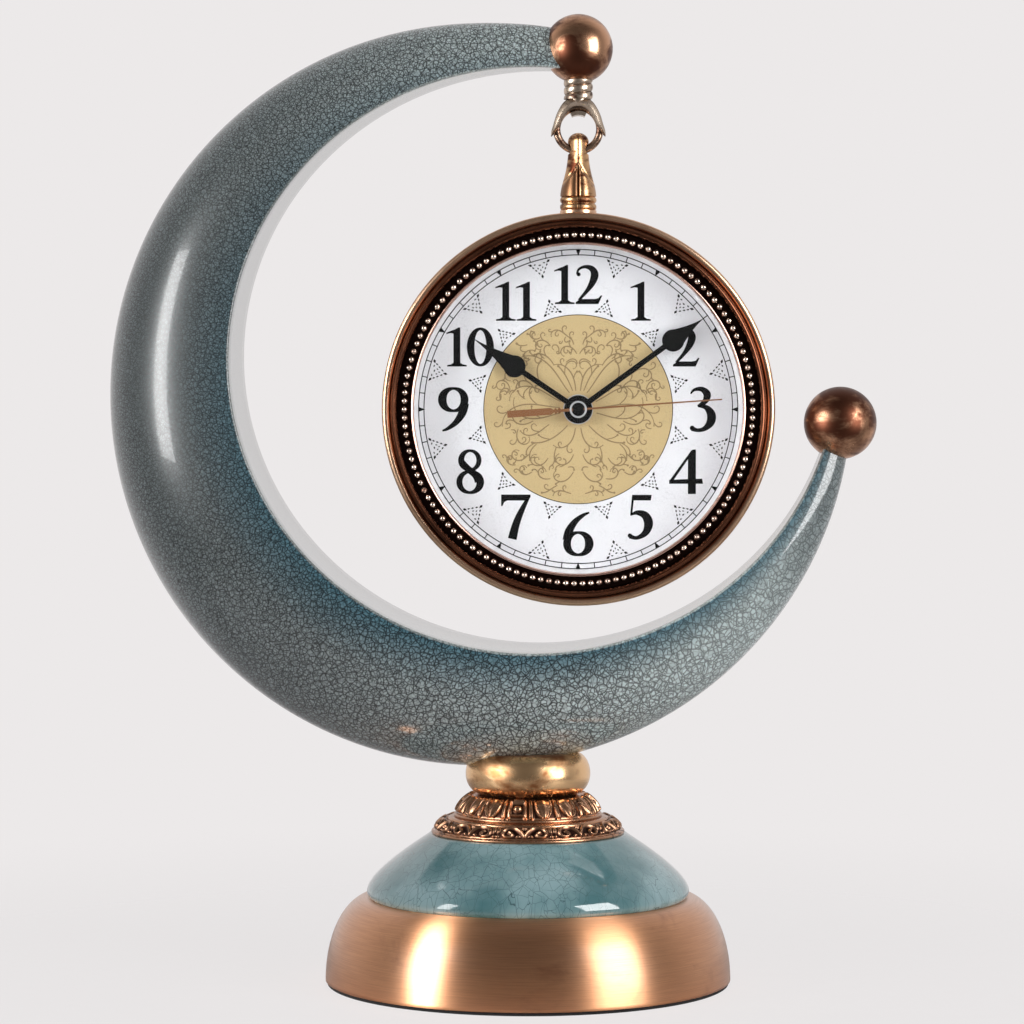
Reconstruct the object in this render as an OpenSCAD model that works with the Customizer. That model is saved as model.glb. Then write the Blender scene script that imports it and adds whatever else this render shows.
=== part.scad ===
/* [Base] */
// Radius of the base at its foot
base_r = 88; // [84:0.5:96]
// Height of the dome's flat top above the table
dome_top_z = 37.4; // [34:0.2:42]
// Radius of the dome's flat top, where the glazed collar sits
dome_top_r = 69; // [66:0.5:72]
// Wall of the spun metal dome
dome_wall = 1.4; // [1:0.1:2]
// Thickness of the felt pad
felt_t = 1.5; // [1:0.1:2.5]
// How far the felt stops short of the dome's edge
felt_margin = 0.8; // [0.4:0.1:3]
// Thickness of the wooden bottom board
board_t = 7; // [6:0.5:9]
// Thickness of the cast weight's disc
weight_t = 16; // [8:1:20]
// Radius of the boss that carries the clamping load through the weight
weight_boss_r = 18; // [14:1:30]

/* [Glazed collar] */
// Widest radius of the collar
collar_r = 70; // [67:0.5:73]
// Height of the collar
collar_h = 27.5; // [24:0.5:32]
// Radius of the collar at its top
collar_top_r = 42.4; // [38:0.2:46]
// Height of the widest point above the dome
collar_lip_h = 2.6; // [1.5:0.1:4]
// How far the lip tucks in under its widest point
collar_tuck = 1.2; // [0.5:0.1:2]
// Wall of the collar
collar_wall = 5; // [4:0.5:6]

/* [Leaf ring and pillow ring] */
// Radius of the leaf ring's lower flange
flange_r = 42; // [40:0.2:44]
// Height of the flange's smooth edge
flange_edge_h = 1.6; // [1:0.1:2]
// Height of the flange's sloped leaf band
flange_h = 7.4; // [6:0.2:8]
// Radius of the upper tier of leaves
tier_r = 32.2; // [30:0.2:34]
// Height of the upper tier's upright edge
tier_edge_h = 2.6; // [2:0.1:4]
// Whole height of the leaf ring
leaf_h = 17.3; // [15:0.1:20]
// Radius of the leaf ring's top
leaf_top_r = 24.4; // [22:0.2:25]
// Wall of the leaf ring's casting
leaf_wall = 4; // [3:0.5:5]
// Radius of the pillow ring
pillow_r = 27.1; // [25.4:0.1:30]
// Height of the pillow ring's widest point above its foot
pillow_mid_h = 8.6; // [7:0.2:10]
// Height of the pillow ring before the crescent's seat is cut
pillow_h = 17.8; // [15.6:0.2:20]
// Width of the round of the pillow ring's side
pillow_round = 5.5; // [4:0.5:8]

/* [Tie rod] */
// Radius of the threaded tie rod
rod_r = 4; // [3:0.5:5]
// Clearance round the rod in its holes
rod_clear = 0.5; // [0.3:0.1:1]
// Thread clearance of the nuts
thread_clear = 0.05; // [0.02:0.01:0.1]
// Width across the flats of the bottom nut
rod_nut_af = 13; // [13:1:17]
// Thickness of the bottom nut
rod_nut_t = 4; // [3:0.5:4.5]
// Radius of the bottom washer
rod_washer_r = 10; // [9:0.5:12]
// Thickness of the bottom washer
rod_washer_t = 1.5; // [1:0.1:2]
// Radius of the plaster plug that anchors the crescent
plug_r = 14; // [10:0.5:16]
// Height of the plug's top above the crescent's lowest point
plug_h = 26; // [20:1:32]
// Radius of the tee nut's flange
tee_r = 9; // [7:0.5:9.5]
// Thickness of the tee nut's flange
tee_t = 1.6; // [1:0.1:2.5]
// Wall of the tee nut's barrel
tee_wall = 1.2; // [1:0.1:2]
// Length of the tee nut's barrel
tee_barrel_h = 9; // [6:0.5:12]

/* [Crescent] */
// Outer radius of the case
case_r = 84.6; // [83:0.2:86]
// How much longer the crescent's outer radius is than the clock case's
rim_room = 76; // [73.4:0.2:80.4]
// Sideways place of the outer circle's centre
moon_x = -20.4; // [-23:0.1:-18]
// How much longer the opening's half width is than the clock case's radius
side_room = 45.4; // [42.4:0.2:46.4]
// How much longer the opening's half height is than the clock case's radius
top_room = 40.6; // [38.4:0.2:41.4]
// Sideways place of the opening's centre from the outer circle's centre
hole_dx = 24; // [24:0.1:26]
// Height of the opening's centre above the outer circle's centre
hole_dz = 15.6; // [14:0.1:16.5]
// Height of the crescent's lowest point above the leaf ring
moon_lift = 12; // [10.6:0.1:12.5]
// Wall of the slip cast crescent
moon_wall = 5; // [4:0.2:6]
// Width from which the horns are hollow
hollow_w = 22; // [18:0.5:26]
// Angle of the upper horn's end, seen from the opening's centre
horn_top_a = 84.4; // [84:0.1:85]
// Angle of the right horn's end
horn_right_a = 346.2; // [345.5:0.1:346.5]
// How much the upper horn swells outward at its tip
horn_swell = 1.2; // [0:0.1:2]
// Angle over which that swelling and the tip's flattening fade
tip_fade_a = 10; // [7:1:14]

/* [Balls] */
// Radius of the ball on the upper horn
ball_top_r = 14.9; // [14.6:0.1:16]
// Radius of the ball on the right horn
ball_right_r = 15.7; // [14:0.1:17]
// Angle of the upper ball's centre
ball_top_a = 82.2; // [82:0.1:82.5]
// Angle of the right ball's centre
ball_right_a = 348.2; // [348:0.1:348.6]
// How far the upper ball sits above the horn's middle line
ball_rise = 1.8; // [1:0.1:2]

/* [Hanger] */
// Radius of the rope shaped neck
neck_r = 6.3; // [5.4:0.1:7]
// Height of the neck
neck_h = 7; // [6:0.2:9]
// Number of rolls on the neck
neck_rolls = 2; // [1:1:3]
// Radius of the threaded stud in the upper ball
neck_stud_r = 2; // [1.5:0.1:2.4]
// Length of the threaded stud
neck_stud_h = 9; // [6:0.5:12]
// Thickness of the fork's roof over the ring
roof_t = 2.2; // [1.2:0.1:2.5]
// Half spread of the fork's prongs at their tips
prong_spread = 12; // [11:0.2:13]
// Length of the prongs below the roof's underside
prong_h = 14.2; // [12:0.2:15]
// Thickness of each prong plate
prong_t = 2.5; // [2:0.1:3]
// Width of the saddle that carries the ring, from prong to prong
saddle_w = 11; // [10:0.2:12]
// Thickness of the saddle
saddle_t = 1.8; // [1.4:0.1:2.2]
// Outer radius of the hanging ring
ring_r = 10.95; // [10.4:0.05:12]
// Radius of the ring's wire
wire_r = 1.63; // [1.4:0.01:1.8]
// Clearance between the ring and what it hangs in
ring_clear = 0.08; // [0.05:0.01:0.1]
// Clearance between the ring and the fork's roof and plates
ring_gap = 0.3; // [0.2:0.05:0.5]

/* [Finial] */
// Radius of the finial round the eye
eye_body_r = 4.5; // [4.3:0.1:5]
// Height of the finial's tip above the eye's centre
tip_h = 7; // [6.2:0.1:7.4]
// Height of metal left above and below the eye before the body turns in
eye_margin = 0.6; // [0.4:0.1:1]
// Height of the eye's centre above the finial's foot
finial_drop = 26.5; // [24:0.5:30]
// Radius of the finial's foot
finial_r = 7.9; // [7:0.1:9]
// Height of one collar ring at the foot
foot_ring_h = 3; // [2:0.2:3.4]
// Depth of the groove round each collar ring
foot_groove = 0.7; // [0.3:0.1:1]
// Radius of the stud below the finial
finial_stud_r = 2.5; // [2:0.1:3]
// How far the finial stands in front of the case's middle plane
hang_f = 6.4; // [4:0.1:8]

/* [Clock case] */
// Sheet thickness of the case
case_wall = 1.6; // [1.2:0.1:2]
// Depth of the case in front of its middle plane
case_front = 19; // [18.6:0.1:21]
// Depth of the case behind its middle plane
case_back = 12; // [11:0.5:16]
// Width of the rolled front lip
lip_w = 3.45; // [3:0.05:4]
// Depth of the rolled front lip
lip_d = 3.5; // [3:0.1:4]
// Height of the pad that the finial stands on
pad_h = 1.3; // [0.8:0.1:2]
// Width of the shoulder that carries the dial
shoulder_w = 3.5; // [3:0.1:5]
// Thickness of the shoulder and of the back flange
shoulder_t = 1.2; // [1:0.1:1.6]
// Width of the flange that the back cover is screwed to
flange_w = 9; // [8:0.5:12]
// Thickness of the back cover
cover_t = 2; // [1.5:0.1:3]
// How far the back cover's edge stops short of the case's edge
cover_margin = 3; // [2:0.5:4]
// Number of cover screws
screw_count = 4; // [3:1:8]
// Radius of a cover screw's shank
screw_r = 1.25; // [1:0.05:1.5]
// Radius of a cover screw's head
screw_head_r = 2.6; // [2.2:0.1:3]
// Height of a cover screw's head
screw_head_h = 1.3; // [1:0.1:2]

/* [Bezel and glass] */
// Width of the bezel's inner step
step_w = 1.5; // [1:0.1:2]
// Height of the bezel's inner step above its channel
step_h = 1.9; // [1:0.1:2.5]
// Width of the outer ridge
ridge_w = 3.45; // [3:0.05:4]
// Width of the dark channel
channel_w = 5.3; // [4.8:0.1:6]
// Height of the outer ridge above the channel
ridge_h = 4.4; // [3:0.1:5]
// Thickness of the bezel's floor under the channel
bezel_floor_t = 1.4; // [1:0.1:2]
// Wall of the bezel's skirt
skirt_t = 1.6; // [1.2:0.1:2]
// Radius of the wire that carries the beads
bead_r = 1.4; // [1:0.1:1.7]
// Fit clearance between parts of the case
fit = 0.1; // [0.05:0.01:0.2]
// Thickness of the glass
glass_t = 2; // [1.5:0.1:3]
// Room between the dial and the glass
glass_room = 7.2; // [6.8:0.1:9]
// Width of the white ring that spaces glass and dial
spacer_w = 3.6; // [3:0.1:5]
// How far that ring leans inward at the dial
spacer_lean = 1.5; // [0.5:0.1:2]
// Thickness of the dial plate
dial_t = 1; // [0.8:0.1:1.2]

/* [Hands] */
// How much shorter the minute hand is than the case's radius
minute_room = 17.6; // [16.6:0.5:24.6]
// How much shorter the hour hand is than the case's radius
hour_room = 29.6; // [26.6:0.5:40]
// How much shorter the second hand is than the case's radius
second_room = 22.4; // [17:0.2:34]
// Length of the second hand's counterweight
second_tail = 30.7; // [20:0.5:36]
// Width of the hour and minute hands' stems
stem_w = 2.4; // [1.6:0.1:3]
// Radius of the pear near the end of a hand
pear_r = 4.8; // [4:0.1:6]
// Width of the second hand's needle
needle_w = 0.9; // [0.6:0.1:1.4]
// Width of the second hand's counterweight
tail_w = 2.6; // [1.6:0.1:3.4]
// Thickness of a hand
hand_t = 0.5; // [0.4:0.05:0.6]
// Radius of the round boss of the hour and minute hands
boss_r = 6.1; // [5:0.1:7]
// Radius of the second hand's cap
cap_r = 3.7; // [3:0.1:4.5]
// Clockwise angle of the minute hand from twelve
minute_a = 54; // [0:1:359]
// Clockwise angle of the hour hand from twelve
hour_a = 304; // [0:1:359]
// Clockwise angle of the second hand from twelve
second_a = 86; // [0:1:359]

/* [Movement] */
// How much wider the square movement is than its battery is long
move_room = 7; // [6.4:0.2:9]
// Thickness of the movement
move_t = 15; // [14.8:0.1:16]
// Wall of the movement's plastic case
move_wall = 1.2; // [1:0.1:1.4]
// Thickness of the front half of the case
front_half_t = 8.5; // [8:0.1:9]
// Height of the battery bay
bay_h = 15.4; // [15:0.1:15.8]
// Radius of the battery
cell_r = 7.1; // [6.9:0.1:7.2]
// Length of the battery without its nub
cell_len = 49; // [48.5:0.1:49.4]
// Radius of the threaded bush through the dial
bush_r = 4; // [3.6:0.1:4.2]
// Height of the bush in front of the dial
bush_h = 2.4; // [2:0.1:2.4]
// Width across the flats of the bush's nut
bush_nut_af = 11; // [10:0.5:12]
// Thickness of the bush's nut
bush_nut_t = 1.5; // [1.2:0.1:1.6]
// Thickness of the bush's washer
bush_washer_t = 0.4; // [0.3:0.05:0.5]
// Radius of the bush's washer
bush_washer_r = 6.5; // [6:0.1:7]
// Radius of the setting knob
knob_r = 5; // [4:0.1:5.6]
// Height of the setting knob
knob_h = 4; // [3:0.1:5]

/* [Hidden] */
$fn = 96;
over = 1;
seg = 12;

// Curve through four control points
function bezier(p, n) = [for (i = [0:n]) let (t = i / n, s = 1 - t)
    s * s * s * p[0] + 3 * s * s * t * p[1] + 3 * s * t * t * p[2] + t * t * t * p[3]];
// Curve from a to b whose control points are shares of the way in each direction
function curve(a, b, share, n = seg) = bezier([for (s = share)
    [a.x + (b.x - a.x) * s.x, a.y + (b.y - a.y) * s.y]], n);
// Quarter ellipse about c from angle a0 to a1
function arc(c, rx, ry, a0, a1, n = seg) = [for (i = [0:n]) let (a = a0 + (a1 - a0) * i / n)
    [c.x + rx * cos(a), c.y + ry * sin(a)]];
function reversed(p) = [for (i = [len(p) - 1:-1:0]) p[i]];

// Round slab between two heights
module slab(r, z0, z1) { translate([0, 0, z0]) cylinder(r = r, h = z1 - z0); }
// Round hole that runs past both ends
module drill(r, z0, z1) { slab(r, z0 - over, z1 + over); }
// Six sided prism between two heights, by its width across the flats
module hex(af, z0, z1) { translate([0, 0, z0]) cylinder(d = af / cos(30), h = z1 - z0, $fn = 6); }

// Heights of the stand, from the table up
board_z = felt_t;
weight_z = board_z + board_t;
collar_z = dome_top_z;
leaf_z = collar_z + collar_h;
pillow_z = leaf_z + leaf_h;
moon_r = case_r + rim_room;
hole_rx = case_r + side_room;
hole_rz = case_r + top_room;
moon_z = pillow_z + moon_lift + moon_r;
hole_x = moon_x + hole_dx;
hole_z = moon_z + hole_dz;
rod_hole_r = rod_r + rod_clear;

module felt_pad() { color("black") slab(base_r - felt_margin, 0, felt_t); }

// Inside of the dome at a height above its foot
dome_in_a = base_r - dome_top_r - dome_wall;
dome_in_h = dome_top_z - felt_t - dome_wall;
board_fit = 0.3;
board_r = dome_top_r + dome_in_a * sqrt(1 - pow(board_t / dome_in_h, 2)) - board_fit;
well_clear = 1;
well_r = max(rod_washer_r, rod_nut_af / 2 / cos(30)) + well_clear;

module bottom_board() {
    color("burlywood") difference() {
        slab(board_r, board_z, weight_z);
        drill(well_r, board_z, weight_z);
    }
}

weight_gap = 3;
module base_weight() {
    color("dimgray") difference() {
        union() {
            slab(dome_top_r - weight_gap, weight_z, weight_z + weight_t);
            slab(weight_boss_r, weight_z, dome_top_z - dome_wall);
        }
        drill(rod_hole_r, weight_z, dome_top_z);
    }
}

module base_dome() {
    outer = arc([dome_top_r, felt_t], base_r - dome_top_r, dome_top_z - felt_t, 0, 90);
    inner = arc([dome_top_r, felt_t], dome_in_a, dome_in_h, 90, 0);
    color([0.78, 0.5, 0.32]) rotate_extrude()
        polygon(concat(outer, [[rod_hole_r, dome_top_z], [rod_hole_r, dome_top_z - dome_wall]], inner));
}

collar_share = [[0, 0], [0.02, 0.24], [0.465, 0.62], [1, 1]];
module glazed_collar() {
    lip_z = collar_z + collar_lip_h;
    foot = arc([collar_r - collar_tuck, lip_z], collar_tuck, collar_lip_h, -90, 0, 6);
    outer = curve([collar_r, lip_z], [collar_top_r, leaf_z], collar_share);
    inner = curve([collar_r - collar_wall, lip_z], [collar_top_r - collar_wall, leaf_z - collar_wall], collar_share);
    color([0.36, 0.56, 0.56]) rotate_extrude()
        polygon(concat(foot, outer, [[rod_hole_r, leaf_z], [rod_hole_r, leaf_z - collar_wall]],
            reversed(inner), [[collar_r - collar_wall, collar_z]]));
}

flange_share = [[0, 0], [0.1, 0.4], [0.5, 0.8], [1, 1]];
tier_share = [[0, 0], [0.1, 0.4], [0.5, 0.8], [1, 1]];
module leaf_ring() {
    band = curve([flange_r, leaf_z + flange_edge_h], [tier_r + leaf_wall, leaf_z + flange_h], flange_share, 6);
    tier = curve([tier_r, leaf_z + flange_h + tier_edge_h], [leaf_top_r, pillow_z], tier_share, 6);
    color([0.42, 0.26, 0.18]) rotate_extrude()
        polygon(concat([[flange_r, leaf_z]], band, [[tier_r, leaf_z + flange_h]], tier,
            [[rod_hole_r, pillow_z], [rod_hole_r, pillow_z - leaf_wall], [leaf_top_r - leaf_wall, pillow_z - leaf_wall],
            [flange_r - leaf_wall, leaf_z]]));
}

// The crescent: its inner edge is an ellipse about the hole's centre and its outer edge a circle
function moon_in(a) = 1 / norm([cos(a) / hole_rx, sin(a) / hole_rz]);
function tip_share(a) = exp(-pow((a - horn_top_a) / tip_fade_a, 2));
function moon_out(a) = let (u = [cos(a), sin(a)], c = [hole_dx, hole_dz], b = u * c)
    sqrt(b * b + moon_r * moon_r - c * c) - b + horn_swell * tip_share(a);
function moon_mid(a) = (moon_in(a) + moon_out(a)) / 2;
function moon_w(a) = moon_out(a) - moon_in(a);
// Half depth of the section for one unit of its width, less at the upper tip
depth_share = 0.725;
tip_flat_share = 0.27;
function half_depth(a) = depth_share * moon_w(a) * (1 - tip_flat_share * tip_share(a));
// Section at angle a, inset all round: two corners on the flat inner wall and a half ellipse outside
function section(a, inset, n) = let (r0 = moon_in(a) + inset, w = moon_out(a) - inset - r0, d = half_depth(a) - inset)
    [for (i = [0:n]) let (t = -90 + 180 * i / n, r = r0 + w * cos(t))
        [hole_x + r * cos(a), d * sin(t), hole_z + r * sin(a)]];
// Closed horn shaped solid that joins such sections from angle a0 to a1
module horn(a0, a1, inset, steps, n) {
    m = n + 1;
    rings = [for (k = [0:steps]) section(a0 + (a1 - a0) * k / steps, inset, n)];
    sides = [for (k = [0:steps - 1], i = [0:n]) let (j = (i + 1) % m, a = k * m + i, b = k * m + j)
        each [[a, a + m, b + m], [a, b + m, b]]];
    first = [for (i = [0:n]) i];
    last = [for (i = [n:-1:0]) steps * m + i];
    polyhedron(points = [for (r = rings) each r], faces = concat(sides, [first, last]));
}
horn_steps = 60;
horn_n = 18;
horn_pitch = (horn_right_a - horn_top_a) / horn_steps;
function horn_a(k) = horn_top_a + horn_pitch * k;
// Outer skin between two of its rings, and the cavity inside
module horn_skin(k0, k1) { horn(horn_a(k0), horn_a(k1), 0, k1 - k0, horn_n); }
cavity_n = 12;
hollow_ks = [for (k = [0:horn_steps]) if (moon_w(horn_a(k)) > hollow_w) k];
cavity_first = hollow_ks[0];
cavity_last = hollow_ks[len(hollow_ks) - 1];
module horn_cavity(k0, k1) { horn(horn_a(k0), horn_a(k1), moon_wall, k1 - k0, cavity_n); }

// Rings of the skin that lie over the foot of the crescent
foot_first = floor((250 - horn_top_a) / horn_pitch);
foot_last = ceil((290 - horn_top_a) / horn_pitch);
moon_foot_z = moon_z - moon_r;

module crescent() {
    color([0.36, 0.45, 0.46]) difference() {
        horn_skin(0, horn_steps);
        horn_cavity(cavity_first, cavity_last);
        slab(rod_hole_r, moon_foot_z - over, moon_foot_z + plug_h);
    }
}

module pillow_ring() {
    side = concat(arc([pillow_r - pillow_round, pillow_z + pillow_mid_h], pillow_round, pillow_mid_h, -90, 0),
        arc([pillow_r - pillow_round, pillow_z + pillow_mid_h], pillow_round, pillow_h - pillow_mid_h, 0, 90));
    color([0.72, 0.56, 0.38]) difference() {
        rotate_extrude() polygon(concat(side, [[rod_hole_r, pillow_z + pillow_h], [rod_hole_r, pillow_z]]));
        horn_skin(foot_first, foot_last);
    }
}

plug_top_z = moon_foot_z + plug_h;
plug_fit = 0.1;
tee_barrel_r = rod_r + tee_wall;
module anchor_plug() {
    color("whitesmoke") difference() {
        intersection() {
            horn_cavity(foot_first, foot_last);
            slab(plug_r, moon_foot_z, plug_top_z);
        }
        drill(rod_hole_r, moon_foot_z, plug_top_z);
        slab(tee_barrel_r + plug_fit, plug_top_z - tee_barrel_h - plug_fit, plug_top_z + over);
    }
}

module tee_nut() {
    color("silver") difference() {
        union() {
            slab(tee_r, plug_top_z, plug_top_z + tee_t);
            slab(tee_barrel_r, plug_top_z - tee_barrel_h, plug_top_z + tee_t);
        }
        drill(rod_r + thread_clear, plug_top_z - tee_barrel_h, plug_top_z + tee_t);
    }
}

rod_end = 0.4;
module tie_rod() { color("silver") slab(rod_r, weight_z - rod_washer_t - rod_nut_t - rod_end, plug_top_z + tee_t + rod_end); }

module rod_washer() {
    color("silver") difference() {
        slab(rod_washer_r, weight_z - rod_washer_t, weight_z);
        drill(rod_hole_r, weight_z - rod_washer_t, weight_z);
    }
}

module rod_nut() {
    color("silver") difference() {
        hex(rod_nut_af, weight_z - rod_washer_t - rod_nut_t, weight_z - rod_washer_t);
        drill(rod_r + thread_clear, weight_z - rod_washer_t - rod_nut_t, weight_z - rod_washer_t);
    }
}

// Centres of the balls, and the line that the clock hangs on
hang_x = hole_x + moon_mid(ball_top_a) * cos(ball_top_a);
ball_top_z = hole_z + moon_mid(ball_top_a) * sin(ball_top_a) + ball_rise;
ball_right_x = hole_x + moon_mid(ball_right_a) * cos(ball_right_a);
ball_right_z = hole_z + moon_mid(ball_right_a) * sin(ball_right_a);
neck_roll = neck_h / neck_rolls / 2;
neck_top_z = ball_top_z - sqrt(pow(ball_top_r, 2) - pow(neck_r - neck_roll, 2));
stud_clear = 0.05;
socket_rings = 4;

module ball_top() {
    color([0.5, 0.38, 0.28]) difference() {
        translate([hang_x, 0, ball_top_z]) sphere(r = ball_top_r);
        horn_skin(0, socket_rings);
        translate([hang_x, 0, 0]) slab(neck_r, neck_top_z - neck_h, neck_top_z);
        translate([hang_x, 0, 0])
            slab(neck_stud_r + stud_clear, neck_top_z - over, neck_top_z + neck_stud_h + stud_clear);
    }
}

module ball_right() {
    color([0.5, 0.38, 0.28]) difference() {
        translate([ball_right_x, 0, ball_right_z]) sphere(r = ball_right_r);
        horn_skin(horn_steps - socket_rings, horn_steps);
    }
}

// Levels of the hanger, from the neck down
roof_z = neck_top_z - neck_h;
slot_z = roof_z - roof_t;
ring_z = slot_z - ring_gap - ring_r;
ring_mid_r = ring_r - wire_r;
ring_in_r = ring_mid_r - wire_r;
slot_half = wire_r + ring_gap;
fork_half = slot_half + prong_t;
saddle_recess = 0.5;

// Outline of one prong plate: half of it, as shares of the spread and the length
prong_out_share = [[0.52, -0.1], [0.62, 0.1], [0.78, 0.38], [0.92, 0.72], [1, 1]];
prong_in_share = [[0.89, 0.98], [0.76, 0.77], [0.6, 0.58], [0.44, 0.42], [0.27, 0.22], [0, 0.15]];
module prong_plate() {
    half = [for (s = concat(prong_out_share, prong_in_share)) [s.x * prong_spread, slot_z - s.y * prong_h]];
    other = [for (p = reversed(half)) [-p.x, p.y]];
    rotate([90, 0, 0]) linear_extrude(prong_t)
        polygon(concat([[neck_r, roof_z]], half, [for (i = [1:len(other) - 1]) other[i]], [[-neck_r, roof_z]]));
}

module saddle() {
    rotate([90, 0, 0]) linear_extrude(2 * (fork_half - saddle_recess), center = true) intersection() {
        difference() {
            circle(r = ring_in_r - ring_clear);
            circle(r = ring_in_r - ring_clear - saddle_t);
        }
        translate([-saddle_w / 2, 0]) square([saddle_w, ring_in_r]);
    }
}

module hanger_fork() {
    color([0.6, 0.48, 0.36]) translate([hang_x, 0, 0]) union() {
        slab(neck_r - neck_roll, slot_z, neck_top_z);
        slab(neck_stud_r, neck_top_z - over, neck_top_z + neck_stud_h);
        for (i = [0:neck_rolls - 1]) translate([0, 0, roof_z + (2 * i + 1) * neck_roll])
            rotate_extrude() translate([neck_r - neck_roll, 0]) circle(r = neck_roll);
        slab(fork_half, slot_z, roof_z + neck_roll);
        for (y = [-slot_half, fork_half]) translate([0, y, 0]) prong_plate();
        translate([0, 0, ring_z]) saddle();
    }
}

module hang_ring() {
    color([0.4, 0.34, 0.3]) translate([hang_x, 0, ring_z]) rotate([90, 0, 0])
        rotate_extrude() translate([ring_mid_r, 0]) circle(r = wire_r, $fn = 48);
}

// The eye holds the ring's wire, whose top is highest at the eye's mouths, this far below the ring's centre
mouth_drop = sqrt(pow(ring_in_r, 2) - pow(eye_body_r, 2));
eye_r = (ring_r - mouth_drop) / 2 + ring_clear;
eye_z = ring_z - (ring_r + mouth_drop) / 2;
finial_z = eye_z - finial_drop;
clock_z = finial_z - pad_h - case_r;
finial_stud_h = pad_h + case_wall;
case_in_r = case_r - case_wall;

body_share = [[0, 0], [0.1, 0.34], [0.75, 0.45], [1, 1]];
module finial() {
    top_z = finial_z + 2 * foot_ring_h;
    waist_z = eye_z - eye_r - eye_margin;
    brow_z = eye_z + eye_r + eye_margin;
    ring_profile = [for (i = [0:1]) each [
        [finial_r - foot_groove, finial_z + i * foot_ring_h], [finial_r, finial_z + (i + 0.3) * foot_ring_h],
        [finial_r, finial_z + (i + 0.75) * foot_ring_h]]];
    body = curve([finial_r, top_z], [eye_body_r, waist_z], body_share, 8);
    nose = arc([0, brow_z], eye_body_r, eye_z + tip_h - brow_z, 0, 90, 8);
    color([0.76, 0.6, 0.42]) translate([hang_x, 0, 0]) difference() {
        union() {
            rotate_extrude() polygon(concat([[0, finial_z]], ring_profile, [[finial_r - foot_groove, top_z]], body, nose));
            slab(finial_stud_r, finial_z - finial_stud_h, finial_z + over);
        }
        translate([0, 0, eye_z]) rotate([0, 90, 0]) cylinder(r = eye_r, h = 2 * finial_r + over, center = true);
    }
}

// From here on the clock's own frame: x to the right, y up and z towards the viewer
module at_clock() { translate([hang_x, hang_f, clock_z]) rotate([90, 0, 0]) children(); }

// Levels of the clock along that z
shoulder_f = 5.5;
dial_f = dial_t + shoulder_f;
glass_f = dial_f + glass_room;
bezel_f = glass_f + glass_t;
channel_f = bezel_f + bezel_floor_t;
move_w = cell_len + move_room;
move_f = shoulder_f;
move_back_f = move_f - move_t;
half_f = move_f - front_half_t;
lip_r = case_r - lip_w;
bezel_r = lip_r - fit;
channel_r = bezel_r - ridge_w;
sight_r = channel_r - channel_w - step_w;
dial_r = bezel_r;
window_clear = 1;
window_w = move_w + 2 * window_clear;

module case_drum() {
    roll = arc([case_r - lip_w / 2, case_front - lip_d / 2], lip_w / 2, lip_d / 2, 0, 180);
    shell = concat([[case_r, -case_back]], roll, [[lip_r, case_front - lip_d], [case_in_r, case_front - lip_d],
        [case_in_r, shoulder_f], [case_in_r - shoulder_w, shoulder_f], [case_in_r - shoulder_w, shoulder_f - shoulder_t],
        [case_in_r, shoulder_f - shoulder_t], [case_in_r, shoulder_t - case_back],
        [case_in_r - flange_w, shoulder_t - case_back], [case_in_r - flange_w, -case_back]]);
    color([0.62, 0.42, 0.27]) difference() {
        union() {
            at_clock() rotate_extrude() polygon(shell);
            translate([hang_x, 0, 0]) difference() {
                slab(finial_r, clock_z + case_in_r, finial_z);
                translate([0, 0, clock_z]) rotate([90, 0, 0]) cylinder(r = case_r - case_wall / 2, h = 4 * finial_r, center = true);
            }
        }
        translate([hang_x, 0, 0]) drill(finial_stud_r + thread_clear, clock_z + case_in_r, finial_z);
        at_clock() screw_holes(screw_r + stud_clear);
    }
}

screw_ring_r = case_in_r - flange_w / 2 - screw_r;
screw_len = cover_t + shoulder_t;
module screw_holes(r) {
    for (i = [0:screw_count - 1]) rotate(45 + i * 360 / screw_count) translate([screw_ring_r, 0, 0])
        drill(r, -case_back - cover_t, shoulder_t - case_back);
}

module bezel() {
    ridge_mid = bezel_r - ridge_w / 2;
    ridge = arc([ridge_mid, channel_f], ridge_w / 2, ridge_h, 0, 180);
    step = arc([sight_r + step_w / 2, channel_f], step_w / 2, step_h, 0, 180, 8);
    color([0.66, 0.4, 0.25]) at_clock() rotate_extrude()
        polygon(concat([[bezel_r, dial_f]], ridge, step, [[sight_r, bezel_f], [bezel_r - skirt_t, bezel_f],
            [bezel_r - skirt_t, dial_f]]));
}

bead_ring_r = channel_r - channel_w / 2;
module bead_ring() {
    color([0.5, 0.32, 0.22]) at_clock() translate([0, 0, channel_f + bead_r])
        rotate_extrude() translate([bead_ring_r, 0]) circle(r = bead_r, $fn = 32);
}

glass_r = bezel_r - skirt_t - fit;
module glass() { color([0.85, 0.93, 0.95, 0.35]) at_clock() slab(glass_r, glass_f, bezel_f); }

module spacer_ring() {
    color("white") at_clock() rotate_extrude()
        polygon([[sight_r - spacer_lean, dial_f], [sight_r + spacer_w, dial_f], [sight_r + spacer_w, glass_f],
            [sight_r, glass_f]]);
}

bush_clear = 0.1;
module dial_plate() {
    color("ivory") at_clock() difference() {
        slab(dial_r, shoulder_f, dial_f);
        drill(bush_r + bush_clear, shoulder_f, dial_f);
    }
}

module back_cover() {
    color([0.1, 0.1, 0.11]) at_clock() difference() {
        slab(case_r - cover_margin, -case_back - cover_t, -case_back);
        translate([0, 0, -case_back - cover_t / 2]) cube([window_w, window_w, cover_t + over], center = true);
        screw_holes(screw_r + bush_clear);
    }
}

module cover_screws() {
    color("silver") at_clock() for (i = [0:screw_count - 1])
        rotate(45 + i * 360 / screw_count) translate([screw_ring_r, 0, 0]) {
            slab(screw_head_r, -case_back - cover_t - screw_head_h, -case_back - cover_t);
            slab(screw_r, -case_back - cover_t - screw_head_h / 2, screw_len - case_back - cover_t);
        }
}

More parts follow.
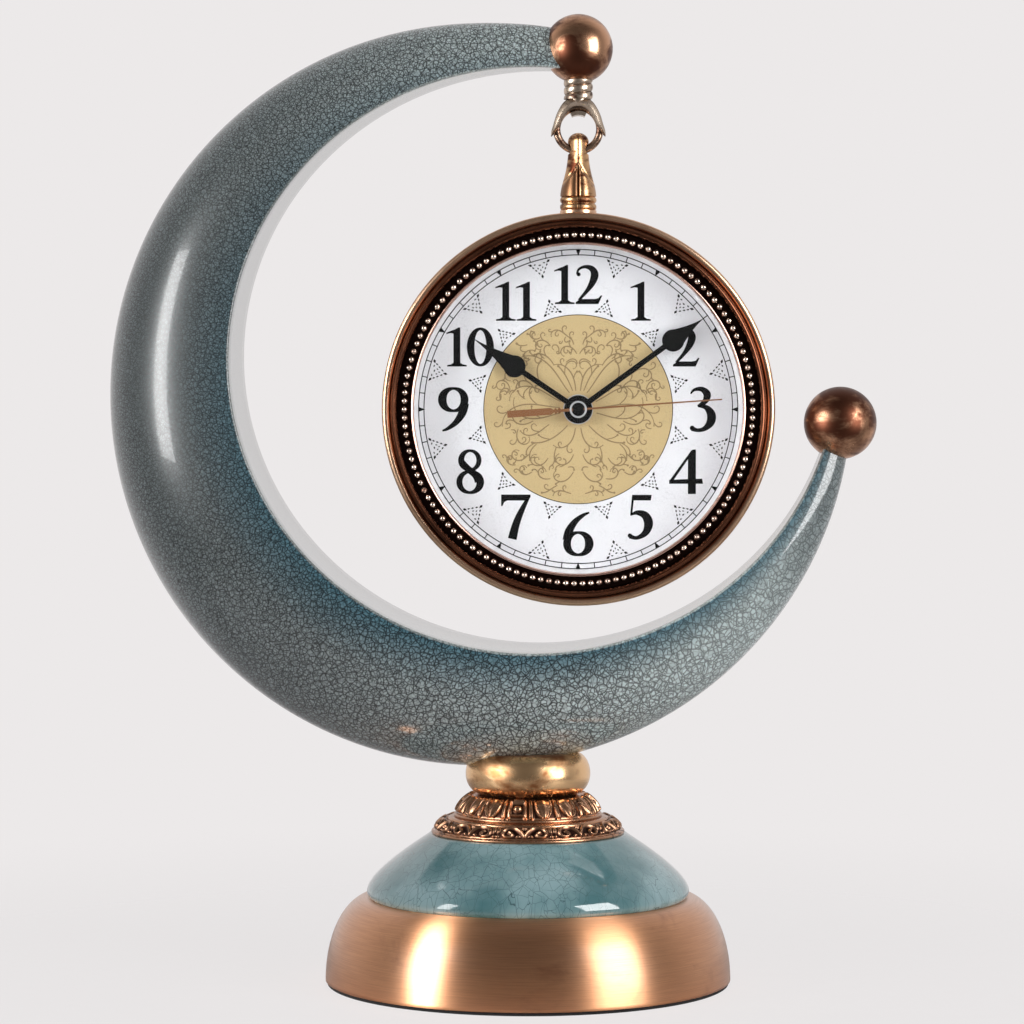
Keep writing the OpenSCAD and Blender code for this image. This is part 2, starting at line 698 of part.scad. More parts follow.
// The movement's two rooms: gears above, the battery below
room_x = move_w - 2 * move_wall;
bay_y0 = move_wall - move_w / 2;
bay_y1 = bay_y0 + bay_h;
room_y0 = bay_y1 + move_wall;
room_y1 = move_w / 2 - move_wall;
front_in_f = move_f - move_wall;
back_in_f = move_back_f + move_wall;
arbor_r = 0.4;
arbor_clear = 0.05;
pivot_d = 0.7;
pivot_gap = 0.1;

// Box between two corners
module block(a, b) { translate(a) cube(b - a); }
module room(f0, f1) { block([-room_x / 2, room_y0, f0], [room_x / 2, room_y1, f1]); }
module bay(f0, f1) { block([-room_x / 2, bay_y0, f0], [room_x / 2, bay_y1, f1]); }

// Distances of the wheels' axes, from which the tooth counts give every radius
step_d = 9;
third_d = 8;
motion_d = 8;
rotor_d = 7;
knob_d = 8;
third_a = 150;
motion_a = 30;
rotor_a = 30;
knob_a = -18;
function polar(r, a) = [r * cos(a), r * sin(a)];
step_p = [0, step_d];
third_p = polar(third_d, third_a);
motion_p = polar(motion_d, motion_a);
rotor_p = step_p + polar(rotor_d, rotor_a);
knob_p = motion_p + polar(knob_d, knob_a);
// Pitch radius of a wheel with n teeth that meshes at distance d with one of m teeth
function pitch_r(d, n, m) = d * n / (n + m);
mesh_gap = 0.15;
wheel_t = 0.8;
// One level of a wheel: a plain disc at its pitch circle
module gear(d, n, m, f0, f1) { slab(pitch_r(d, n, m) - mesh_gap, f0, f1); }
module arbor_at(p, r, f0, f1) { translate([p.x, p.y, 0]) slab(r, f0, f1); }

// Depths of the wheels along the arbors, counted from the inner back wall
step_f = back_in_f + 0.2 * wheel_t;
second_f = step_f + 1.3 * wheel_t;
third_f = second_f + 1.5 * wheel_t;
minute_f = third_f + 2.6 * wheel_t;
motion_f = minute_f + 2.2 * wheel_t;
hour_f = motion_f + 3.4 * wheel_t;
hand_gap = 0.5;
bush_top_f = dial_f + bush_h;
hour_hand_f = bush_top_f + hand_gap;
minute_hand_f = hour_hand_f + hand_t + hand_gap;
second_hand_f = minute_hand_f + hand_t + hand_gap;
hour_tube_r = 2.6;
minute_tube_r = 1.6;
second_arbor_r = 0.6;
tube_clear = 0.08;

module pivots(f0, f1) { for (p = [step_p, third_p, motion_p, rotor_p]) arbor_at(p, arbor_r + arbor_clear, f0, f1); }

post_r = 1.2;
post_in = 4.8;
post_pitch = 8.5;
post_ps = [for (x = [post_pitch, 0]) [room_x / 2 - post_in - x, room_y1 - post_in - post_pitch]];
module movement_case() {
    color([0.15, 0.15, 0.16]) at_clock() difference() {
        union() {
            difference() {
                block([-move_w / 2, -move_w / 2, half_f], [move_w / 2, move_w / 2, move_f]);
                room(half_f - over, front_in_f);
                bay(half_f - over, front_in_f);
            }
            slab(bush_r, front_in_f, bush_top_f);
            for (p = post_ps) arbor_at(p, post_r, stator_f + stator_t, move_f - move_wall / 2);
        }
        drill(hour_tube_r + tube_clear, front_in_f, bush_top_f);
        pivots(front_in_f - over, front_in_f + pivot_d);
    }
}

module movement_back() {
    color([0.12, 0.12, 0.13]) at_clock() difference() {
        block([-move_w / 2, -move_w / 2, move_back_f], [move_w / 2, move_w / 2, half_f]);
        room(back_in_f, half_f + over);
        bay(move_back_f - over, half_f + over);
        pivots(back_in_f - pivot_d, back_in_f + over);
        arbor_at([0, 0], second_arbor_r + arbor_clear, back_in_f - pivot_d, back_in_f + over);
        arbor_at(knob_p, knob_shaft_r + arbor_clear, move_back_f - over, back_in_f + over);
    }
}

module bush_washer() {
    color("silver") at_clock() difference() {
        slab(bush_washer_r, dial_f, dial_f + bush_washer_t);
        drill(bush_r + bush_clear, dial_f, dial_f + bush_washer_t);
    }
}

module bush_nut() {
    color("gold") at_clock() difference() {
        hex(bush_nut_af, dial_f + bush_washer_t, dial_f + bush_washer_t + bush_nut_t);
        drill(bush_r + thread_clear, dial_f + bush_washer_t, dial_f + bush_washer_t + bush_nut_t);
    }
}

// Iron circuit of the motor: a plate round the rotor, two legs and the bar through the coil
stator_t = 1;
magnet_r = 2.8;
magnet_h = 2.4;
magnet_gap = 0.6;
magnet_f = third_f + wheel_t;
stator_f = magnet_f + (magnet_h - stator_t) / 2;
stator_x0 = 2;
stator_in = 2.4;
stator_x1 = room_x / 2 - stator_in;
stator_y0 = 8.4;
stator_y1 = 16.6;
leg_w = 2;
core_in = 5.4;
core_y = room_y1 - core_in;
core_w = 1.6;
module stator() {
    color("gray") at_clock() difference() {
        union() {
            block([stator_x0, stator_y0, stator_f], [stator_x1, stator_y1, stator_f + stator_t]);
            for (x = [stator_x0, stator_x1 - leg_w])
                block([x, stator_y0, stator_f], [x + leg_w, core_y + core_w / 2, stator_f + stator_t]);
            block([stator_x0, core_y - core_w / 2, stator_f], [stator_x1, core_y + core_w / 2, stator_f + stator_t]);
        }
        arbor_at(rotor_p, magnet_r + magnet_gap, stator_f - over, stator_f + stator_t + over);
    }
}

coil_r = 2.9;
coil_gap = 1;
core_fit = 0.1;
module coil() {
    x0 = stator_x0 + leg_w + coil_gap;
    x1 = stator_x1 - leg_w - coil_gap;
    mid = stator_f + stator_t / 2;
    color([0.7, 0.35, 0.15]) at_clock() difference() {
        translate([x0, core_y, mid]) rotate([0, 90, 0]) cylinder(r = coil_r, h = x1 - x0);
        block([x0 - over, core_y - core_w / 2 - core_fit, stator_f - core_fit],
            [x1 + over, core_y + core_w / 2 + core_fit, stator_f + stator_t + core_fit]);
    }
}

pcb_in = 1.8;
pcb_w = 17;
pcb_h = 12;
pcb_x0 = pcb_in - room_x / 2;
pcb_x1 = pcb_x0 + pcb_w;
pcb_y1 = room_y1 - pcb_in;
pcb_y0 = pcb_y1 - pcb_h;
pcb_t = 1;
module circuit_board() {
    color("darkgreen") at_clock() block([pcb_x0, pcb_y0, front_in_f - pcb_t], [pcb_x1, pcb_y1, front_in_f]);
}

can_r = 1;
can_len = 6;
module crystal_can() {
    color("silver") at_clock() translate([(pcb_x0 + pcb_x1 - can_len) / 2, (pcb_y0 + pcb_y1) / 2, front_in_f - pcb_t - can_r])
        rotate([0, 90, 0]) cylinder(r = can_r, h = can_len);
}

// The battery lies in its bay between two contacts and lifts out at the back
cell_y = bay_y0 + bay_h / 2;
cell_gap = 0.3;
cell_f = front_in_f - cell_gap - cell_r;
nub_r = 2.7;
nub_h = 1;
contact_t = 0.5;
contact_w = 8;
spring_r = 3;
module battery_contacts() {
    f0 = cell_f - contact_w / 2;
    cell_x1 = room_x / 2 - contact_t - nub_h - pivot_gap;
    color("silver") at_clock() {
        block([-room_x / 2, cell_y - contact_w / 2, f0], [contact_t - room_x / 2, cell_y + contact_w / 2, f0 + contact_w]);
        translate([contact_t / 2 - room_x / 2, cell_y, cell_f]) rotate([0, 90, 0])
            cylinder(r = spring_r, h = cell_x1 - cell_len - pivot_gap - contact_t / 2 + room_x / 2);
        block([room_x / 2 - contact_t, cell_y - contact_w / 2, f0], [room_x / 2, cell_y + contact_w / 2, f0 + contact_w]);
    }
}

module battery() {
    cell_x1 = room_x / 2 - contact_t - nub_h - pivot_gap;
    color([0.2, 0.35, 0.3]) at_clock() translate([cell_x1, cell_y, cell_f]) rotate([0, -90, 0]) {
        slab(cell_r, 0, cell_len);
        slab(nub_r, -nub_h, over);
    }
}

arbor_f0 = back_in_f - pivot_d + pivot_gap;
arbor_f1 = front_in_f + pivot_d - pivot_gap;
module rotor() {
    color("dimgray") at_clock() translate([rotor_p.x, rotor_p.y, 0]) {
        slab(arbor_r, arbor_f0, arbor_f1);
        gear(rotor_d, 10, 60, step_f, step_f + 1.4 * wheel_t);
        slab(magnet_r, magnet_f, magnet_f + magnet_h);
    }
}

module step_wheel() {
    color("white") at_clock() translate([step_p.x, step_p.y, 0]) {
        slab(arbor_r, arbor_f0, arbor_f1);
        gear(rotor_d, 60, 10, step_f, step_f + wheel_t);
        gear(step_d, 12, 60, step_f, second_f + wheel_t);
    }
}

module third_wheel() {
    color("white") at_clock() translate([third_p.x, third_p.y, 0]) {
        slab(arbor_r, arbor_f0, arbor_f1);
        gear(third_d, 60, 8, third_f, third_f + wheel_t);
        gear(third_d, 8, 64, third_f, minute_f + wheel_t);
    }
}

module motion_wheel() {
    color("white") at_clock() translate([motion_p.x, motion_p.y, 0]) {
        slab(arbor_r, arbor_f0, arbor_f1);
        gear(motion_d, 36, 12, motion_f, motion_f + wheel_t);
        gear(motion_d, 10, 40, motion_f, hour_f + wheel_t);
    }
}

knob_shaft_r = 1;
knob_gap = 0.3;
module setting_knob() {
    color([0.2, 0.2, 0.22]) at_clock() translate([knob_p.x, knob_p.y, 0]) {
        slab(knob_r, move_back_f - knob_gap - knob_h, move_back_f - knob_gap);
        slab(knob_shaft_r, move_back_f - knob_gap - over, motion_f + wheel_t);
        gear(knob_d, 12, 36, motion_f, motion_f + wheel_t);
    }
}

module hour_wheel() {
    color("white") at_clock() difference() {
        union() {
            gear(motion_d, 40, 10, hour_f, hour_f + wheel_t);
            slab(hour_tube_r, hour_f, hour_hand_f + hand_t);
        }
        drill(minute_tube_r + tube_clear, hour_f, hour_hand_f + hand_t);
    }
}

module minute_wheel() {
    color("white") at_clock() difference() {
        union() {
            gear(third_d, 64, 8, minute_f, minute_f + wheel_t);
            gear(motion_d, 12, 36, minute_f, motion_f + 1.4 * wheel_t);
            slab(minute_tube_r, minute_f, minute_hand_f + hand_t);
        }
        drill(second_arbor_r + tube_clear, minute_f, minute_hand_f + hand_t);
    }
}

module second_wheel() {
    color("silver") at_clock() {
        slab(second_arbor_r, arbor_f0, second_hand_f);
        gear(step_d, 60, 12, second_f, second_f + wheel_t);
        gear(third_d, 8, 60, second_f, third_f + 1.3 * wheel_t);
    }
}

// A pear shaped hand along the y axis: stem, pear and point
point_a = 56;
point_share = 0.96;
module pear_hand(length, pear_at, bore) {
    side = [point_share * pear_r * cos(point_a), pear_at + point_share * pear_r * sin(point_a)];
    linear_extrude(hand_t) difference() {
        union() {
            circle(r = boss_r);
            translate([-stem_w / 2, 0]) square([stem_w, pear_at]);
            translate([0, pear_at]) circle(r = pear_r);
            polygon([side, [stem_w / 4, length], [-stem_w / 4, length], [-side.x, side.y]]);
        }
        circle(r = bore);
    }
}

hour_pear_share = 0.604;
minute_pear_share = 0.755;
minute_len = case_r - minute_room;
hour_len = case_r - hour_room;
module hour_hand() {
    color("black") at_clock() translate([0, 0, hour_hand_f]) rotate(-hour_a)
        pear_hand(hour_len, hour_len * hour_pear_share, hour_tube_r);
}

module minute_hand() {
    color("black") at_clock() translate([0, 0, minute_hand_f]) rotate(-minute_a)
        pear_hand(minute_len, minute_len * minute_pear_share, minute_tube_r);
}

tail_start_share = 0.3;
second_len = case_r - second_room;
module second_hand() {
    color([0.5, 0.3, 0.15]) at_clock() translate([0, 0, second_hand_f]) rotate(-second_a) {
        linear_extrude(hand_t) union() {
            circle(r = cap_r);
            translate([-needle_w / 2, -second_tail / 2]) square([needle_w, second_len + second_tail / 2]);
            translate([-tail_w / 2, -second_tail]) square([tail_w, second_tail * (1 - tail_start_share)]);
        }
        slab(cap_r, 0, 2 * hand_t);
    }
}

felt_pad();
bottom_board();
base_weight();
base_dome();
glazed_collar();
leaf_ring();
pillow_ring();
tie_rod();
rod_nut();
rod_washer();
anchor_plug();
tee_nut();
crescent();
ball_top();
ball_right();
hanger_fork();
hang_ring();
finial();
case_drum();
bezel();
bead_ring();
glass();
spacer_ring();
dial_plate();
back_cover();
cover_screws();
movement_case();
movement_back();
bush_washer();
bush_nut();
stator();
coil();
circuit_board();
crystal_can();
battery_contacts();
battery();
rotor();
step_wheel();
third_wheel();
motion_wheel();
setting_knob();
hour_wheel();
hour_hand();
minute_wheel();
minute_hand();
second_wheel();
second_hand();
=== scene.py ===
"""Ceramic table clock: a crackle glazed crescent on a metal foot, with a round clock hung from its upper horn."""
import logging
import math
from collections.abc import Callable, Sequence
from dataclasses import dataclass, field
from enum import Enum
from functools import cache

import bmesh
import bpy
from bmesh.types import BMFace, BMVert, BMesh
from bpy.types import Material, Node, NodeSocket, NodeTree, Object
from mathutils import Matrix, Vector


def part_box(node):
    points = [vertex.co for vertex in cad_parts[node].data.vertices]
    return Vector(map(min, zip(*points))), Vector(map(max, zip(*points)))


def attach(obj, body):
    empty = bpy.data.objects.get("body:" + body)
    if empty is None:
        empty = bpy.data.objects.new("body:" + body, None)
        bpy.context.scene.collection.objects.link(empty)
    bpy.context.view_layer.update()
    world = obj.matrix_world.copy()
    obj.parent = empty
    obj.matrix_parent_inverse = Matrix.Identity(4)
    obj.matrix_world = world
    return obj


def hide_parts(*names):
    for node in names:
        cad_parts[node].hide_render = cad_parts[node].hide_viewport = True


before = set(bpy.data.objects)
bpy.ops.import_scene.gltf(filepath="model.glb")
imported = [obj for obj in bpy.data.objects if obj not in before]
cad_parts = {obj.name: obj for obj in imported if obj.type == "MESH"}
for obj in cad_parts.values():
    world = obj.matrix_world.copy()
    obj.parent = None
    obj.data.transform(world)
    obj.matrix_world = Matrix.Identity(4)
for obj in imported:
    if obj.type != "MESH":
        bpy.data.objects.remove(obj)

MM = 0.001
MERGE = 0.002 * MM
LOG = logging.getLogger("clock")
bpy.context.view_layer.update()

Point = tuple[float, float]
StrokePoint = tuple[float, float, float]
Strokes = tuple[tuple[StrokePoint, ...], ...]
Profile = list[Point]
Colour = tuple[float, float, float]
Ramp = tuple[float, float, float, float]


class Body(Enum):
    """The frame's bodies that new pieces ride on."""

    STAND = "stand"
    CLOCK = "clock"
    SECOND = "second_train"
    MINUTE = "minute_train"
    HOUR = "hour_train"


class Graph:
    """Adds and joins the nodes of one material or node group."""

    # A Mix node's sockets have the same names for every kind of value, so its colours are found by number.
    MIX_A, MIX_B, MIX_RESULT = 6, 7, 2
    NUMBERS = ("DOT_PRODUCT", "LENGTH")

    def __init__(self, tree: NodeTree) -> None:
        """Takes the tree that the nodes go into."""
        self.tree = tree

    def add(self, kind: str, **settings: object) -> Node:
        """Adds a node.

        Args:
            kind: the node's type name without its ShaderNode prefix.
            settings: attributes of the node.

        Returns:
            The new node.
        """
        node = self.tree.nodes.new("ShaderNode" + kind)
        for name, value in settings.items():
            setattr(node, name, value)
        return node

    def feed(self, socket: NodeSocket, value: object) -> None:
        """Links a socket to another, or sets its value, where a colour gets full opacity."""
        if isinstance(value, NodeSocket):
            self.tree.links.new(value, socket)
        else:
            socket.default_value = rgba(value) if socket.type == "RGBA" else value

    def math(self, operation: str, a: object, b: object = 0.0, clamp: bool = False) -> NodeSocket:
        """Joins one or two numbers with a math node."""
        node = self.add("Math", operation=operation, use_clamp=clamp)
        self.feed(node.inputs[0], a)
        self.feed(node.inputs[1], b)
        return node.outputs[0]

    def vector(self, operation: str, a: object, b: object = (0.0, 0.0, 0.0)) -> NodeSocket:
        """Joins one or two vectors with a vector math node, to a vector or a number."""
        node = self.add("VectorMath", operation=operation)
        self.feed(node.inputs[0], a)
        self.feed(node.inputs[1], b)
        return node.outputs["Value" if operation in self.NUMBERS else "Vector"]

    def scaled(self, a: object, factor: object) -> NodeSocket:
        """A vector times a number."""
        node = self.add("VectorMath", operation="SCALE")
        self.feed(node.inputs[0], a)
        self.feed(node.inputs["Scale"], factor)
        return node.outputs[0]

    def remap(self, value: object, low: object, high: object, to_low: object = 0.0, to_high: object = 1.0,
              smooth: bool = True) -> NodeSocket:
        """Maps a number from one range to another, clamped.

        Args:
            value: the number.
            low: value that maps to to_low.
            high: value that maps to to_high.
            to_low: result at low.
            to_high: result at high.
            smooth: eases both ends.

        Returns:
            The mapped number.
        """
        node = self.add("MapRange", interpolation_type="SMOOTHSTEP" if smooth else "LINEAR")
        labels = ("Value", "From Min", "From Max", "To Min", "To Max")
        for label, number in zip(labels, (value, low, high, to_low, to_high)):
            self.feed(node.inputs[label], number)
        return node.outputs[0]

    def blend(self, share: object, a: object, b: object) -> NodeSocket:
        """Mixes two colours."""
        node = self.add("Mix", data_type="RGBA")
        self.feed(node.inputs["Factor"], share)
        self.feed(node.inputs[self.MIX_A], a)
        self.feed(node.inputs[self.MIX_B], b)
        return node.outputs[self.MIX_RESULT]

    def mix_shader(self, share: object, a: NodeSocket, b: NodeSocket) -> NodeSocket:
        """Mixes two shaders."""
        node = self.add("MixShader")
        for socket, value in zip(node.inputs, (share, a, b)):
            self.feed(socket, value)
        return node.outputs[0]

    def parts(self, vector: NodeSocket) -> Node:
        """Splits a vector into X, Y and Z."""
        node = self.add("SeparateXYZ")
        self.feed(node.inputs[0], vector)
        return node

    def joined(self, *numbers: object) -> NodeSocket:
        """A vector of two or three numbers."""
        node = self.add("CombineXYZ")
        for socket, number in zip(node.inputs, numbers):
            self.feed(socket, number)
        return node.outputs[0]

    def from_axis(self, parts: Node) -> NodeSocket:
        """Distance from the Z axis of a place that is split into its parts."""
        return self.vector("LENGTH", self.joined(parts.outputs["X"], parts.outputs["Y"]))

    def noise(self, vector: object, scale: object, detail: float = 2.0, roughness: float = 0.5,
              distortion: float = 0.0, result: str = "Fac") -> NodeSocket:
        """A noise texture on a vector, as a number or as its Color."""
        node = self.add("TexNoise")
        labels = ("Vector", "Scale", "Detail", "Roughness", "Distortion")
        for label, value in zip(labels, (vector, scale, detail, roughness, distortion)):
            self.feed(node.inputs[label], value)
        return node.outputs[result]

    def place(self, tree: NodeTree, **inputs: object) -> Node:
        """Places a node group with its values, where an underscore in a name stands for a space."""
        node = self.add("Group", node_tree=tree)
        for name, value in inputs.items():
            self.feed(node.inputs[name.replace("_", " ")], value)
        return node


class GroupBook:
    """The node groups that several finishes share, each built once."""

    @staticmethod
    def _start(name: str, vectors: Sequence[str], numbers: Sequence[str],
               results: Sequence[str]) -> tuple[Graph, Node, Node]:
        """Makes an empty group with its sockets.

        Args:
            name: the group's name.
            vectors: names of the vectors that it takes.
            numbers: names of the numbers that it takes.
            results: names of the numbers that it gives.

        Returns:
            The graph and the group's input and output nodes.
        """
        tree = bpy.data.node_groups.new(name, "ShaderNodeTree")
        sockets = [(label, "INPUT", "NodeSocketVector") for label in vectors]
        sockets += [(label, "INPUT", "NodeSocketFloat") for label in numbers]
        sockets += [(label, "OUTPUT", "NodeSocketFloat") for label in results]
        for label, way, kind in sockets:
            tree.interface.new_socket(label, in_out=way, socket_type=kind)
        return Graph(tree), tree.nodes.new("NodeGroupInput"), tree.nodes.new("NodeGroupOutput")

    @cache
    def crackle(self) -> NodeTree:
        """Cracks of a glaze: old long cracks, and young ones that stop at them.

        Returns:
            A group with Vector, Normal, Cell, Width and Bend, that gives Lines, Tint and Height.
        """
        flattest, apart, young_width, faintest, strengthened = 0.04, 31.0, 0.85, 0.3, 0.65
        g, start, end = self._start("crackle", ("Vector", "Normal"), ("Cell", "Width", "Bend"),
                                    ("Lines", "Tint", "Height"))
        unit = g.math("DIVIDE", 1.0, start.outputs["Cell"])
        flat = g.scaled(start.outputs["Vector"], unit)
        wave = g.vector("SUBTRACT", g.noise(flat, 0.55, result="Color"), (0.5, 0.5, 0.5))
        bent = g.vector("ADD", flat, g.scaled(wave, start.outputs["Bend"]))
        width = g.math("DIVIDE", start.outputs["Width"], start.outputs["Cell"])

        def level(place: NodeSocket) -> tuple[NodeSocket, Node]:
            """Distance to the nearest crack along the surface, and the cell's own texture node."""
            near = g.add("TexVoronoi", feature="F1")
            far = g.add("TexVoronoi", feature="F2")
            for node in (near, far):
                g.feed(node.inputs["Vector"], place)
                node.inputs["Scale"].default_value = 1.0
            ends = far.outputs["Position"], near.outputs["Position"]
            across = g.vector("NORMALIZE", g.vector("SUBTRACT", *ends))
            middle = g.scaled(g.vector("ADD", *ends), 0.5)
            gap = g.vector("DOT_PRODUCT", g.vector("SUBTRACT", middle, place), across)
            lean = g.vector("DOT_PRODUCT", across, start.outputs["Normal"])
            upright = g.math("SUBTRACT", 1.0, g.math("MULTIPLY", lean, lean))
            return g.math("DIVIDE", gap, g.math("SQRT", g.math("MAXIMUM", upright, flattest))), near

        old_gap, old_cell = level(g.scaled(bent, 0.5))
        young_gap, young_cell = level(g.vector("ADD", bent, g.scaled(old_cell.outputs["Color"], apart)))
        breaks = g.remap(g.noise(bent, 0.8, 1.0), 0.33, 0.5)
        old = g.remap(g.math("MULTIPLY", old_gap, 2.0), 0.0, width, 1.0, 0.0)
        young = g.remap(young_gap, 0.0, g.math("MULTIPLY", width, young_width), 1.0, 0.0)
        young = g.math("MULTIPLY", young, g.math("ADD", g.math("MULTIPLY", breaks, strengthened), faintest))
        lines = g.math("MAXIMUM", old, young)
        g.feed(end.inputs["Lines"], lines)
        tint = g.add("SeparateColor")
        g.feed(tint.inputs[0], young_cell.outputs["Color"])
        g.feed(end.inputs["Tint"], tint.outputs[0])
        g.feed(end.inputs["Height"], g.math("SUBTRACT", 1.0, lines))
        return g.tree

    @cache
    def smudge(self) -> NodeTree:
        """Dark patina left in the hollows and wiped off the faces of plated metal.

        Returns:
            A group with Vector, Scale and Amount, that gives Mask and Height.
        """
        cloud_stretch, streak_stretch, streak_fineness, streak_share = 1.7, 2.4, 3.0, 0.25
        clean_edge, edge_drop, edge_below, edge_above = 0.95, 0.55, 0.16, 0.1
        g, start, end = self._start("smudge", ("Vector",), ("Scale", "Amount"), ("Mask", "Height"))
        cloud_place = g.vector("MULTIPLY", start.outputs["Vector"], (1.0, 1.0, cloud_stretch))
        cloud = g.noise(cloud_place, start.outputs["Scale"], 5.0, 0.62, 0.8)
        streak_place = g.vector("MULTIPLY", start.outputs["Vector"], (1.0, 1.0, streak_stretch))
        streak = g.noise(streak_place, g.math("MULTIPLY", start.outputs["Scale"], streak_fineness), 3.0, 0.6)
        both = g.math("ADD", cloud, g.math("MULTIPLY", streak, streak_share))
        edge = g.math("SUBTRACT", clean_edge, g.math("MULTIPLY", start.outputs["Amount"], edge_drop))
        mask = g.remap(both, g.math("SUBTRACT", edge, edge_below), g.math("ADD", edge, edge_above))
        g.feed(end.inputs["Mask"], mask)
        g.feed(end.inputs["Height"], both)
        return g.tree

    @cache
    def turned(self) -> NodeTree:
        """Fine rings left by a brush or a lathe round the local Z axis.

        Returns:
            A group with Vector and Spacing, that gives Height.
        """
        g, start, end = self._start("turned", ("Vector",), ("Spacing",), ("Height",))
        parts = g.parts(start.outputs["Vector"])
        radius = g.from_axis(parts)
        turn = g.math("MULTIPLY", g.math("ARCTAN2", parts.outputs["Y"], parts.outputs["X"]), 1.2 * MM)
        place = g.joined(g.math("ADD", radius, parts.outputs["Z"]), turn,
                         g.math("SUBTRACT", radius, parts.outputs["Z"]))
        scale = g.math("DIVIDE", 1.0, start.outputs["Spacing"])
        g.feed(end.inputs["Height"], g.noise(place, scale, 3.0, 0.7))
        return g.tree

    @cache
    def specks(self) -> NodeTree:
        """Fine dust and small dents of a cast or moulded face.

        Returns:
            A group with Vector and Size, that gives Mask and Height.
        """
        g, start, end = self._start("specks", ("Vector",), ("Size",), ("Mask", "Height"))
        scale = g.math("DIVIDE", 1.0, start.outputs["Size"])
        fine = g.noise(start.outputs["Vector"], scale, 4.0, 0.65)
        broad = g.noise(start.outputs["Vector"], g.math("MULTIPLY", scale, 0.08), 2.0)
        g.feed(end.inputs["Mask"], g.math("MULTIPLY", g.remap(fine, 0.45, 0.75), g.remap(broad, 0.35, 0.65)))
        g.feed(end.inputs["Height"], fine)
        return g.tree


GROUPS = GroupBook()


def rgba(colour: Colour) -> tuple[float, float, float, float]:
    """A colour with full opacity."""
    return (*colour, 1.0)


def screen(red: int, green: int, blue: int) -> Colour:
    """Turns a colour as a screen shows it, 0 to 255, into the linear colour that shaders use."""
    shares = [value / 255 for value in (red, green, blue)]
    return tuple(s / 12.92 if s <= 0.04045 else ((s + 0.055) / 1.055) ** 2.4 for s in shares)


@dataclass(frozen=True)
class Finish:
    """What every finish has: a name and the plain sockets of its shader."""

    name: str
    colour: Colour = (0.5, 0.5, 0.5)
    metallic: float = 0.0
    roughness: float = 0.4
    ior: float = 1.5
    coat: float = 0.0
    coat_roughness: float = 0.05
    bump: float = 0.1
    bump_depth: float = 0.05 * MM
    rough_gain: float = 0.12

    def material(self) -> Material:
        """Builds the material once and gives it again when asked again."""
        made = bpy.data.materials.get(self.name)
        if made:
            return made
        made = bpy.data.materials.new(self.name)
        made.use_nodes = True
        made.diffuse_color = rgba(self.colour)
        made.node_tree.nodes.clear()
        g = Graph(made.node_tree)
        shader = g.add("BsdfPrincipled")
        for label, value in (("Metallic", self.metallic), ("IOR", self.ior), ("Coat Weight", self.coat),
                             ("Coat Roughness", self.coat_roughness), ("Roughness", self.roughness),
                             ("Base Color", self.colour)):
            g.feed(shader.inputs[label], value)
        place = g.add("TexCoord")
        self.paint(g, shader, place)
        result = self.surface(g, shader)
        g.feed(g.add("OutputMaterial").inputs["Surface"], result)
        return made

    def surface(self, g: Graph, shader: Node) -> NodeSocket:
        """The shader that reaches the output."""
        return shader.outputs[0]

    def paint(self, g: Graph, shader: Node, place: Node) -> None:
        """Feeds the shader's colour, roughness and normal.

        Args:
            g: the material's graph.
            shader: the principled shader.
            place: the texture coordinate node.
        """
        specks = g.place(GROUPS.specks(), Vector=place.outputs["Object"], Size=0.9 * MM)
        darker = tuple(value * 0.8 for value in self.colour)
        mask = specks.outputs["Mask"]
        self.wear(g, shader, g.blend(mask, self.colour, darker), mask, specks.outputs["Height"])

    def wear(self, g: Graph, shader: Node, colour: NodeSocket, mask: NodeSocket, height: NodeSocket) -> None:
        """Feeds the colour, a roughness that rises by its gain where the mask is full, and the relief."""
        rougher = self.roughness + self.rough_gain
        g.feed(shader.inputs["Base Color"], colour)
        g.feed(shader.inputs["Roughness"], g.remap(mask, 0.0, 1.0, self.roughness, rougher, False))
        self.relief(g, shader, height)

    def relief(self, g: Graph, shader: Node, height: NodeSocket) -> None:
        """Feeds the normal from a height through a bump node."""
        bump = g.add("Bump")
        bump.inputs["Strength"].default_value = self.bump
        bump.inputs["Distance"].default_value = self.bump_depth
        g.feed(bump.inputs["Height"], height)
        g.feed(shader.inputs["Normal"], bump.outputs[0])


